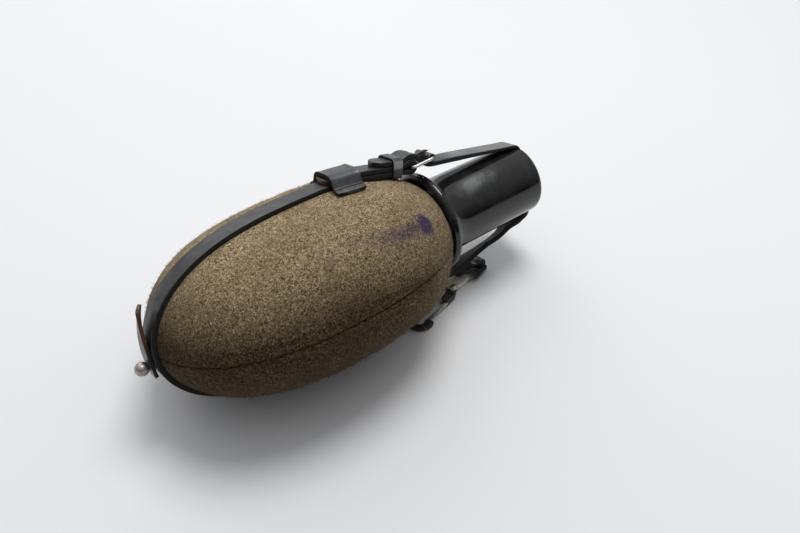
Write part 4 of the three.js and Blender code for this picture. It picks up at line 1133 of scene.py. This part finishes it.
def press_studs():
    """Domed caps on the flap, each with a rolled edge and a shallow dimple."""
    lift = -(CLEARANCE + FELT_THICKNESS)
    crown = CLEARANCE + SNAP_CAP_HEIGHT
    foot = lift + 2 * CLEARANCE
    profile = [(foot, 0), (foot, SNAP_SHANK_RADIUS), (0.1, SNAP_SHANK_RADIUS), (0.1, SNAP_CAP_RADIUS - 0.6)]
    profile += [(0.55 - x, r) for r, x in arc((SNAP_CAP_RADIUS - 0.45, 0), 0.45, 90, -90, 8)]
    profile += [(crown - 0.25 - 0.85 * (r / SNAP_CAP_RADIUS) ** 2.4, r) for r in np.linspace(5.3, 1.9, 12)]
    profile += [(crown - 0.3, 1.5), (crown - 0.5, 1.0), (crown - 0.55, 0)]
    for i in range(SNAP_COUNT):
        span = FLAP_END - FLAP_START - 2 * SNAP_END_MARGIN
        x = FLAP_START + SNAP_END_MARGIN + span * i / (SNAP_COUNT - 1)
        step = 0.5
        lengthwise = flap_point(x + step, -SNAP_DROP, lift) - flap_point(x - step, -SNAP_DROP, lift)
        upwards = flap_point(x, -SNAP_DROP + step, lift) - flap_point(x, -SNAP_DROP - step, lift)
        outward = upwards.cross(lengthwise).normalized()
        aim = Vector((1, 0, 0)).rotation_difference(outward).to_matrix().to_4x4()
        stand = Matrix.Translation(flap_point(x, -SNAP_DROP, lift)) @ aim
        add_piece(f"press_stud_{i + 1}", turned(profile, 40), BLACK_STEEL, "flask",
                  [f"cover_snap_{i + 1}"], LYING @ stand)


# Leather
def harness_strap():
    line = [over_front(x, SKIN_OFFSET + LAYER_PITCH) for x in np.linspace(FOLD_BACK_START, FRONT_LEAVE, 9)]
    line += [on_front_run(-2 * FOLD_TAPER, LAYER_PITCH), on_front_run(-FOLD_TAPER, LAYER_PITCH)]
    rise = LAYER_PITCH - FOLD_RADIUS
    start = math.atan2(rise, -FOLD_TAPER) - math.acos(FOLD_RADIUS / math.hypot(FOLD_TAPER, rise))
    fold = arc((0, FOLD_RADIUS), FOLD_RADIUS, math.degrees(start), -90, 14)
    line += [on_front_run(u, v) for u, v in fold]
    line += [on_front_run(-FOLD_TAPER, 0), FRONT_START]
    skin = form_stations(0, 110)
    line += [over_front(x, SKIN_OFFSET) for x in skin[::-1] if 0.1 < x < FRONT_LEAVE - 1]
    line.append((-SKIN_OFFSET, 0))
    line += [(x, -z) for x, z in (over_front(s, SKIN_OFFSET) for s in skin if 0.1 < s < BACK_LEAVE - 1)]
    line += [(BACK_START[0], -BACK_START[1]), (LAP_END, back_run(LAP_END))]
    path, across = flat_path(line, 1.1)
    shape, values = ribbon(path, across, STRAP_WIDTH, STRAP_THICKNESS, seed=1, tips=(2.5, 2.5),
                           raw=(1.0, 0.3))
    room = EYE_OUTER + CLEARANCE
    slot = prism(rect(-room, FOLD_RADIUS - room, 2 * room, FOLD_RADIUS + 3 * room), -SLOT_HALF, SLOT_HALF)
    neck, foot = STUD_NECK_RADIUS + CLEARANCE, STUD_FOOT_RADIUS + CLEARANCE
    step = STUD_FOOT_FACE - CLEARANCE
    hole = turned([(-20, 0), (-20, neck), (step, neck), (step, foot), (3, foot), (3, 0)], 32)
    add_piece("harness_leather", shape, LEATHER, "flask", ["harness_strap"], values=values,
              cutters=[(slot, RUN), (hole, STUD)])


def cup_strap():
    corner = CUP_END - CLEARANCE - STRAP_THICKNESS / 2 - CUP_CORNER_RADIUS
    corner_height = CUP_RADIUS + CUP_TAPER + CLEARANCE + STRAP_THICKNESS / 2 - CUP_CORNER_RADIUS
    line = [(x, back_run(x) + LAYER_PITCH) for x in (LAP_START, LAP_END)]
    line += [(x, back_run(x)) for x in (LAP_END + LAP_RISE, LOOP_BEND_START)]
    line.append((BACK_BOW_STATION, -BACK_BOW_DROP))
    bow_end = corner - BACK_BOW_MARGIN
    for share in (0.2, 0.4, 0.6, 0.8):
        x = BACK_BOW_STATION + (bow_end - BACK_BOW_STATION) * share
        line.append((x, -BACK_BOW_DROP + (BACK_BOW_DROP - corner_height - CUP_CORNER_RADIUS) * share ** 2))
    line += arc((corner, -corner_height), CUP_CORNER_RADIUS, -90, 0, 10)
    roller_x, roller_z = on_front_run(BUCKLE_LENGTH + BILLET_ROLLER_RUN, UNDER_ROLLER)
    leave = math.atan2(roller_z - corner_height - CUP_CORNER_RADIUS, corner - roller_x)
    line += arc((corner, corner_height), CUP_CORNER_RADIUS, 0, 90 - math.degrees(leave), 10)
    line += [(roller_x, roller_z)]
    line += [on_front_run(u, v) for u, v in (
        (BUCKLE_LENGTH - BILLET_ROLLER_RUN, UNDER_ROLLER), (BILLET_CREST, BILLET_LIFT),
        (-BILLET_CREST, BILLET_LIFT), (-BILLET_TAPER, 2 * LAYER_PITCH), (-BILLET_LENGTH, 2 * LAYER_PITCH))]
    path, across = flat_path(line, 1.1)
    for i, (x, _, z) in enumerate(path):
        if z < 0:
            twist = STRAP_TWIST * smooth(x, LAP_END + 4, BACK_BOW_STATION)
            twist *= fade(x, corner - 14, corner - 2)
            across[i] = (0, math.cos(twist), -math.sin(twist))
    bend = [smooth(x, corner - CUP_BEND_RUN, corner + 2) * smooth(z, 2, 12) for x, _, z in path]
    slim = [1 - CUP_BEND_SLIM * b for b in bend]
    path = [(x - CUP_BEND_TUCK * b * smooth(x, corner, CUP_END), y, z - CUP_BEND_DROP * b)
            for (x, y, z), b in zip(path, bend)]
    shape, values = ribbon(path, across, STRAP_WIDTH, STRAP_THICKNESS, seed=5, tips=(2.0, 5.5),
                           raw=(0.3, 0.0), slim=slim)
    values["aged"] = [fade(v.z, -20, -4) for v in shape[0]]
    # Painted highlight on the strap's top over the cup's end
    values["painted_highlight"] = [0.28 * smooth(v.x, 188, 206) * smooth(v.z, 4, 16) for v in shape[0]]
    slot_low, slot_high = UNDER_ROLLER - STRAP_THICKNESS, BILLET_LIFT + STRAP_THICKNESS
    slot_from, slot_to = EYE_OUTER / 2 - 1.0, BUCKLE_LENGTH - ROLLER_RADIUS
    slot = prism(rect(slot_from, slot_low, slot_to, slot_high), -SLOT_HALF, SLOT_HALF)
    bore = rod(6, LOOP_RIVET_RADIUS + CLEARANCE, 24)
    piece = add_piece("cup_strap_leather", shape, LEATHER, None, ["cup_strap"], values=values,
                      cutters=[(slot, RUN), (bore, RIVET)])
    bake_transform(piece)


FOOT_GROOVES = (1.3, 2.9, 4.5)


def felt_keeper():
    """Leather arch over the strap, with grooved feet sewn to the felt."""
    def foot(side):
        return CLEARANCE + FELT_KEEPER_THICKNESS / 2 - side ** 2 / (2 * CROWN_RADIUS)

    half = [(15.9, foot(15.9)), (11.6, foot(11.6)), (10.3, 1.3), (7.9, 6.3), (5.6, 7.45), (0, 7.6)]
    line = [(-y, z) for y, z in half] + half[-2::-1]
    path = [(0, y, z) for y, z in spaced(rounded(line, 2.2), 0.28)]

    def grooves(along, run, across):
        near = min(along, run - along)
        curl = 0.35 * smooth(abs(across), FELT_KEEPER_LENGTH / 2 - 2.0, FELT_KEEPER_LENGTH / 2)
        dips = sum(math.exp(-((near - g) / 0.4) ** 2) for g in FOOT_GROOVES)
        return -0.55 * dips + curl * smooth(near, 6.0, 12.0)

    shape, values = ribbon(path, [(-1, 0, 0)] * len(path), FELT_KEEPER_LENGTH, FELT_KEEPER_THICKNESS,
                           seed=9, tips=(1.6, 1.6), relief=grooves)
    add_piece("felt_keeper_band", shape, KEEPER_LEATHER, "flask", ["felt_keeper"], KEEPER, values)


def buckle_keeper():
    """Closed leather loop round the three layers next to the buckle."""
    off = CLEARANCE + BUCKLE_KEEPER_THICKNESS / 2
    side, low = STRAP_WIDTH / 2 + off, STRAP_THICKNESS / 2 + off
    ring = rounded(rect(-side, -low, side, 2 * LAYER_PITCH + low), 2.4, closed=True, steps=8)
    path = [(0, p[0], p[1]) for p in refined(ring, 0.8)]
    shape, values = ribbon(path, [(1, 0, 0)] * len(path), BUCKLE_KEEPER_LENGTH, BUCKLE_KEEPER_THICKNESS,
                           radius=0.5, seed=13, closed=True)
    # Painted highlight on the keeper's near face
    values["painted_highlight"] = [fade(v.y, -6.6, -5.0) * smooth(v.z, 2.4, 4.4) * fade(v.z, 6.8, 8.4)
                       for v in shape[0]]
    add_piece("buckle_keeper_band", shape, KEEPER_LEATHER, "flask", ["buckle_keeper"],
              RUN @ move(-BUCKLE_KEEPER_RUN, 0, 0), values)


def stud_tab():
    """Tab buttoned on the ball stud; its upper end stands off the strap and twists."""
    path, across = [(TAB_MIDDLE + TAB_FOOT_BEND, 0, TAB_FOOT), (TAB_MIDDLE, 0, -TAB_FLAT)], []
    for share in np.linspace(0, 1, 31):
        path.append((TAB_MIDDLE + TAB_LEAN * share ** 2, 0, TAB_FLAT + (TAB_TOP - TAB_FLAT) * share))
    path = spaced(path, 0.8)
    for x, y, z in path:
        twist = TAB_TWIST * clamped((z - TAB_FLAT) / (TAB_TOP - TAB_FLAT)) ** 2
        across.append((math.sin(twist), math.cos(twist), 0))
    shape, values = ribbon(path, across, TAB_WIDTH, TAB_THICKNESS, seed=17, tips=(3.5, 1.6), wave=0.08)
    values["cut_end"] = [s * smooth(v.z, 9, 17) for s, v in zip(values["side"], shape[0])]
    hole = rod(20, STUD_NECK_RADIUS + CLEARANCE, 32)
    add_piece("stud_tab_leather", shape, LEATHER, "tab", ["stud_tab"], STUD, values,
              cutters=[(hole, STUD)])


def hook_loop():
    """Leather loop under the back strap, round the hook's bar and back to the rivet."""
    to_eye = Vector((math.cos(HOOK_HEADING), math.sin(HOOK_HEADING), 0))
    bar_across = Vector((-math.sin(HOOK_HEADING), math.cos(HOOK_HEADING), 0))
    strap_across = (LYING.to_3x3() @ Vector((0, 1, 0))).normalized()
    bar = HOOK_BAR / MM

    def under(x, depth):
        return (LYING @ Vector((x, 0, back_run(x) - depth))) / MM

    points = [under(LOOP_START, LOOP_OFFSET), under(LOOP_BEND_START, LOOP_OFFSET)]
    sides = [0.0, 0.0]
    for u, v in arc((0, 0), LOOP_BEND, 95, -125, 18):
        points.append(bar + to_eye * u + Vector((0, 0, v)))
        sides.append(1.0)
    points += [bar - to_eye * LOOP_RISE_RUN + Vector((0, 0, LOOP_RISE)),
               under(LOOP_TAIL, LOOP_TAIL_OFFSET), under(LOOP_START, LOOP_TAIL_OFFSET)]
    sides += [1.0, 0.0, 0.0]
    rows = rounded([(*p, s) for p, s in zip(points, sides)], 2.5, steps=4)
    rows = spaced(rows, 0.7)
    path = [row[:3] for row in rows]
    across = [strap_across.lerp(bar_across, row[3]) for row in rows]
    shape, values = ribbon(path, across, LOOP_WIDTH, LOOP_THICKNESS, radius=0.6, seed=21, tips=(2, 2),
                           raw=(0.4, 0.4), wave=0.05)
    bore = rod(9, LOOP_RIVET_RADIUS + CLEARANCE, 24)
    add_piece("hook_loop_leather", shape, LEATHER, "flask", ["hook_loop"], TO_METRES, values,
              cutters=[(bore, RIVET)])


# Buckle and studs
def buckle():
    side = WINDOW_HALF + WIRE_RADIUS
    corners = [(x, y, 0) for x, y in rect(0, -side, FRAME_REACH, side)]
    dense = refined(rounded(corners, 1.9, closed=True, steps=7), 1.2)
    radii = [WIRE_RADIUS * (0.82 + 0.02 * noise.noise(p * 0.4)) for p in dense]
    add_piece("buckle_wire", tube(dense, radii, 18, closed=True), STEEL, "buckle", ["buckle_frame"], BUCKLE)

    half, bore = WINDOW_HALF - CLEARANCE, ROLLER_RADIUS - ROLLER_WALL
    outer = [(-half + 0.25 - x, ROLLER_RADIUS - 0.25 + r) for x, r in arc((0, 0), 0.25, 0, 90, 5)]
    outer += [(x, ROLLER_RADIUS - 0.06 * math.exp(-((abs(x) - 5.2) / 0.35) ** 2))
              for x in np.linspace(-6.5, 6.5, 40)]
    outer += [(half - 0.25 + x, ROLLER_RADIUS - 0.25 + r) for r, x in arc((0, 0), 0.25, 0, 90, 5)]
    ring = [(-half, bore + 0.1), *outer, (half, bore + 0.1), (half - 0.1, bore), (-half + 0.1, bore)]
    add_piece("roller_tube", turned(ring, 40, closed=True), DARK_STEEL, "roller", ["buckle_roller"],
              BUCKLE @ move(FRAME_REACH, 0, 0) @ turn(math.pi / 2, "Z"))

    low = ROLLER_RADIUS + CLEARANCE
    tilt = math.degrees(math.atan2(low, FRAME_REACH))
    root = arc((0, 0), EYE_OUTER, 90 + tilt, 360 - math.degrees(PRONG_ROOT_TURN), 30)
    tongue_end = FRAME_REACH + ROLLER_RADIUS
    tongue = rounded([root[-1], (FRAME_REACH - 2 * ROLLER_RADIUS, low - PRONG_TIP_HEIGHT / 2),
                      (FRAME_REACH - ROLLER_RADIUS / 2, low), (tongue_end, low - 0.5),
                      (tongue_end, low + 0.1), (FRAME_REACH - 0.5, low + 0.9),
                      (FRAME_REACH - 5, low + 0.9), root[0]], 1.2)
    outline = root + [tuple(p) for p in tongue[1:-1]]
    verts, faces = plate(outline, [arc((0, 0), EYE_BORE, 0, 350, 35)], PRONG_WIDTH, 0.35)
    verts = [Vector((u, v, w * (1 - 0.3 * smooth(u, 4, tongue_end)))) for u, v, w in verts]
    add_piece("prong_tongue", (verts, faces), DARK_STEEL, "prong", ["buckle_prong"],
              BUCKLE @ turn(math.pi / 2, "X"))


def base_stud():
    neck = math.degrees(math.asin(STUD_NECK_RADIUS / STUD_BALL_RADIUS))
    ball = arc((BALL_CENTRE, 0), STUD_BALL_RADIUS, 180, neck, 28)
    profile = [(ball[0][0], 0)] + ball[1:]
    profile += [(STUD_FOOT_FACE, STUD_NECK_RADIUS), (STUD_FOOT_FACE, STUD_FOOT_RADIUS - 0.2),
                (STUD_FOOT_FACE + 0.2, STUD_FOOT_RADIUS), (-CLEARANCE, STUD_FOOT_RADIUS), (-CLEARANCE, 0)]
    add_piece("ball_stud", turned(profile, 48), STUD_METAL, "flask", ["base_stud"], STUD)


def rivet_profile(low, high, radius, head, height):
    """Shank with a domed head at both ends, as [x, radius] points."""
    dome = [(height * math.cos(t), head * math.sin(t)) for t in np.linspace(0, math.pi / 2, 9)]
    profile = [(low - rise, r) for rise, r in dome] + [(low, radius), (high, radius)]
    return profile + [(high + rise, r) for rise, r in dome[::-1]]


def loop_rivet():
    low = -STRAP_THICKNESS / 2 - CLEARANCE
    high = LOOP_TAIL_OFFSET + LOOP_THICKNESS / 2 + CLEARANCE
    shape = turned(rivet_profile(low, high, LOOP_RIVET_RADIUS, LOOP_RIVET_HEAD, 0.5), 32)
    add_piece("loop_rivet_heads", shape, BLACK_STEEL, "flask", ["loop_rivet"], RIVET)


# Snap hook
def snap_hook():
    half_bar, inner = HOOK_THICKNESS / 2, BOW_RADIUS - HOOK_WIRE
    room = GATE_KNUCKLE + 2 * CLEARANCE
    outline = [(-half_bar, -EYE_HALF), (NECK_START, -EYE_HALF), (NECK_END, -NECK_HALF),
               (ROOT_STATION, -NECK_HALF), (ROOT_STATION + ROOT_RUN, -BOW_RADIUS)]
    outline += arc((BOW_CENTRE, 0), BOW_RADIUS, -90, 90, 30)
    outline += [(NOSE_TIP, BOW_RADIUS), (NOSE_TIP, inner)]
    outline += arc((BOW_CENTRE, 0), inner, 90, -90, 24)
    seat, stop = GATE_SIDE - room, GATE_STATION - room
    outline += [(SPINE_START, -inner), (CHEEK_END, seat), (stop, seat), (stop, NECK_HALF),
                (NECK_END, NECK_HALF), (NECK_START, EYE_HALF), (-half_bar, EYE_HALF)]
    window = rounded(rect(half_bar, -EYE_WINDOW_HALF, NECK_START, EYE_WINDOW_HALF), 1.2, closed=True)
    body = plate(rounded(outline, 1.6, closed=True, steps=4), [window], HOOK_THICKNESS, 0.45)
    cheek = rounded(rect(CHEEK_START, -NECK_HALF, CHEEK_END, NECK_HALF), 2.6, closed=True)
    hole = arc((GATE_STATION, GATE_SIDE), GATE_RIVET_RADIUS + CLEARANCE, 0, 345, 23)
    flap = plate(cheek, [hole], CHEEK, 0.3)
    lift = half_bar + CHEEK / 2 - 0.02
    shape = joined(body, moved(flap, move(0, 0, lift)), moved(flap, move(0, 0, -lift)))
    blacking = [max(smooth(v[0], 46, 57), fade(v[0], 12, 16.5) * smooth(v[1], -1, 2)) for v in shape[0]]
    add_piece("hook_plate", shape, NICKEL, "hook", ["snap_hook"], HOOK, {"blacking": blacking})

    outline = arc((0, 0), GATE_KNUCKLE, 90, 270, 20)
    arm_outer = inner - CLEARANCE - GATE_SIDE
    block_start, block_end = GATE_BLOCK
    outline += [(block_end, GATE_BLOCK_FOOT), (block_end, GATE_BLOCK_TOP - GATE_ARM),
                (GATE_END, arm_outer - GATE_ARM), (GATE_END, arm_outer), (block_end, GATE_BLOCK_TOP),
                (block_start, GATE_BLOCK_TOP)]
    hole = arc((0, 0), GATE_RIVET_RADIUS + CLEARANCE, 0, 345, 23)
    arm = plate(outline, [hole], HOOK_THICKNESS - 2 * CLEARANCE, 0.3)
    block = [(block_start, -GATE_KNUCKLE / 2), (block_end, GATE_BLOCK_FOOT), (block_end, GATE_BLOCK_TOP),
             (block_start, GATE_BLOCK_TOP)]
    block = plate(rounded(block, 0.9, closed=True), [], HOOK_THICKNESS + 2 * CHEEK, 0.5)
    shape = joined(arm, block)
    worn = [0.95 * fade(abs(v[0] - block_end), 1, 4) for v in arm[0]] + [0.0] * len(block[0])
    add_piece("gate_arm", shape, BLACK_STEEL, "gate", ["hook_gate"], GATE, {"polish": worn})

    top = half_bar + CHEEK + CLEARANCE
    shape = turned(rivet_profile(-top, top, GATE_RIVET_RADIUS, GATE_RIVET_HEAD, 0.5), 32)
    add_piece("gate_rivet_heads", shape, BRASS, "hook", ["gate_rivet"], GATE @ turn(-math.pi / 2, "Y"))

    slope = (GATE_BLOCK_FOOT + GATE_KNUCKLE) / block_end
    drop = (CLEARANCE + SPRING_THICKNESS / 2) * math.hypot(1, slope)
    leaf = [Vector((u, -GATE_KNUCKLE + slope * u - drop, 0)) for u in SPRING_SPAN]
    path = spaced(leaf, 0.8)
    shape, values = ribbon(path, [(0, 0, 1)] * len(path), HOOK_THICKNESS - 2 * CLEARANCE, SPRING_THICKNESS,
                           radius=0.2, crown=0.0, wave=0.0, seed=25, tips=(0.9, 0.9))
    piece = add_piece("gate_leaf", shape, STEEL, None, ["gate_spring"], GATE, values)
    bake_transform(piece)


# Flask, seal, cap and cup
def flask():
    outer = [(x, *halves(x, FLASK_INSET)) for x in form_stations(FLASK_INSET, 60)]
    deep = FLASK_INSET + FLASK_WALL
    inner = [(x, *halves(x, deep)) for x in form_stations(deep, 50)]
    inner[-1] = (inner[-1][0], NECK_BORE, NECK_BORE)
    neck = [(MOUTH - 0.5, NECK_RADIUS), (MOUTH - 0.15, NECK_RADIUS - 0.15), (MOUTH, NECK_RADIUS - 0.5),
            (MOUTH, NECK_BORE + 0.4), (MOUTH - 0.4, NECK_BORE)]
    shape = ringed(outer + [(x, r, r) for x, r in neck] + inner[::-1], 72)
    add_piece("flask_shell", shape, ALUMINIUM, "flask", ["flask"], sharp=35)
    path, radii = [], []
    for k in range(THREAD_STEPS + 1):
        turns = THREAD_TURNS * k / THREAD_STEPS
        x = CAP_START + 3.0 + THREAD_PITCH * turns
        path.append(on_ring(x, NECK_RADIUS, NECK_RADIUS, math.tau * turns))
        radii.append(0.1 + 0.3 * smooth(min(k, THREAD_STEPS - k), 0, 10))
    add_piece("neck_thread", tube(path, radii, 10), ALUMINIUM, "flask")


def cap():
    seal = [(MOUTH + CLEARANCE, 0), (MOUTH + CLEARANCE, NECK_RADIUS - 0.3), (MOUTH + 0.6, NECK_RADIUS),
            (SEAL_END - 0.3, NECK_RADIUS), (SEAL_END, NECK_RADIUS - 0.3), (SEAL_END, 8),
            (SEAL_END - 0.4, 7.6), (SEAL_END - 0.4, 0)]
    add_piece("seal_disc", turned(seal, 72), RUBBER, "seal", ["cap_seal"])
    roof = SEAL_END + CLEARANCE
    profile = [(roof, 0), (roof, CAP_BORE - 0.3), (roof - 0.3, CAP_BORE), (CAP_START + 0.3, CAP_BORE),
               (CAP_START, CAP_BORE + 0.4), (CAP_START, CAP_RADIUS - 0.5), (CAP_START + 0.5, CAP_RADIUS)]
    profile += [(x, CAP_RADIUS) for x in np.linspace(CAP_START + 1.2, CAP_END - 2.2, 24)]
    rim = (1.0, 0.15), (0.3, 0.6), (0.0, 1.3)
    profile += [(CAP_END - drop, CAP_RADIUS - inset) for drop, inset in rim]
    top = (0.0, 11.5), (0.4, 11.0), (0.4, 4.0), (0.3, 3.6), (0.3, 0.0)
    profile += [(CAP_END - drop, radius) for drop, radius in top]

    def fluted(point, angle):
        wall = math.hypot(point.y, point.z)
        if wall < CAP_RADIUS - 0.3:
            return point
        depth = smooth(point.x, CAP_START + 3.2, CAP_START + 4.4)
        depth *= fade(point.x, CAP_END - 3.4, CAP_END - 2.0)
        dip = CAP_FLUTE_DEPTH * depth * (0.5 - 0.5 * math.cos(CAP_FLUTES * angle)) ** 1.5
        return Vector((point.x, point.y * (1 - dip / wall), point.z * (1 - dip / wall)))

    add_piece("cap_turned", turned(profile, 8 * CAP_FLUTES, fluted), ALUMINIUM, "cap", ["screw_cap"])


# Centre of the cup's scuffed patch and its painted reflection
SCUFF_AND_REFLECTION_PLACE = (201.5, -14.3, 17.3)


def cup():
    mouth = (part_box("cup")[0].x - AXIS_START.x) / MM
    rim_round = CUP_RIM_THICKNESS / 2
    rim_centre = CUP_RIM_RADIUS - rim_round
    flare_top = mouth + CUP_RIM_THICKNESS + CUP_FLARE_LENGTH
    root = CUP_RADIUS + CUP_TAPER
    profile = [(CUP_END, r) for r in np.linspace(0, CUP_RADIUS - CUP_END_ROUNDING, 8)]
    side_end = CUP_END - CUP_END_ROUNDING
    profile += arc((side_end, CUP_RADIUS - CUP_END_ROUNDING), CUP_END_ROUNDING, 0, 90, 12)[1:]
    profile += [(x, CUP_RADIUS + CUP_TAPER * (CUP_END - x) / (CUP_END - flare_top))
                for x in np.linspace(side_end - 0.5, flare_top + 1, 30)]
    for angle in np.linspace(0, math.pi / 2, 17):
        profile.append((flare_top - CUP_FLARE_LENGTH * math.sin(angle),
                        rim_centre - (rim_centre - root) * math.cos(angle)))
    profile += [(mouth + rim_round + y, rim_centre + x) for x, y in arc((0, 0), rim_round, 90, -90, 18)][1:]
    profile.append((mouth, CUP_MOUTH_RADIUS))
    inside = root - CUP_WALL
    for angle in np.linspace(0, math.pi / 2, 14)[1:]:
        profile.append((mouth + (flare_top - mouth) * math.sin(angle),
                        inside + (CUP_MOUTH_RADIUS - inside) * (1 - math.sin(angle))))
    profile += [(CUP_END - CUP_FLOOR, CUP_RADIUS - CUP_WALL), (CUP_END - CUP_FLOOR, 0)]
    shape = turned(profile, 160)
    # Scuffed patch with its painted reflection, fading out from its centre
    scuff_and_reflection = []
    for v in shape[0]:
        off = (v - Vector(SCUFF_AND_REFLECTION_PLACE)) / 11
        rough = 0.35 * noise.noise(v * 0.14)
        scuff_and_reflection.append(fade(math.hypot(off.x * 0.62, off.y * 1.7, off.z * 1.7) + rough, 0.1, 1.15))
    floor_x = CUP_END - GROOVE_DEPTH
    corner = (floor_x - GROOVE_CORNER, root - GROOVE_CORNER)
    line = [(corner[0], -60), *arc((corner[0], -corner[1]), GROOVE_CORNER, -90, 0, 8),
            *arc(corner, GROOVE_CORNER, 0, 90, 8), (corner[0], 60), (300, 60), (300, -60)]
    add_piece("cup_moulding", shape, CUP_BLACK, "cup", ["cup"], values={"scuff_and_reflection": scuff_and_reflection}, sharp=45,
              cutters=[(prism(line, -GROOVE_HALF, GROOVE_HALF), LYING)])


add_camera()
add_stage()
felt_panel("felt_front_panel", "felt_front", 1)
felt_panel("felt_back_panel", "felt_back", -1)
felt_flap()
felt_nap()
press_studs()
harness_strap()
cup_strap()
felt_keeper()
buckle_keeper()
stud_tab()
hook_loop()
buckle()
base_stud()
loop_rivet()
snap_hook()
flask()
cap()
cup()
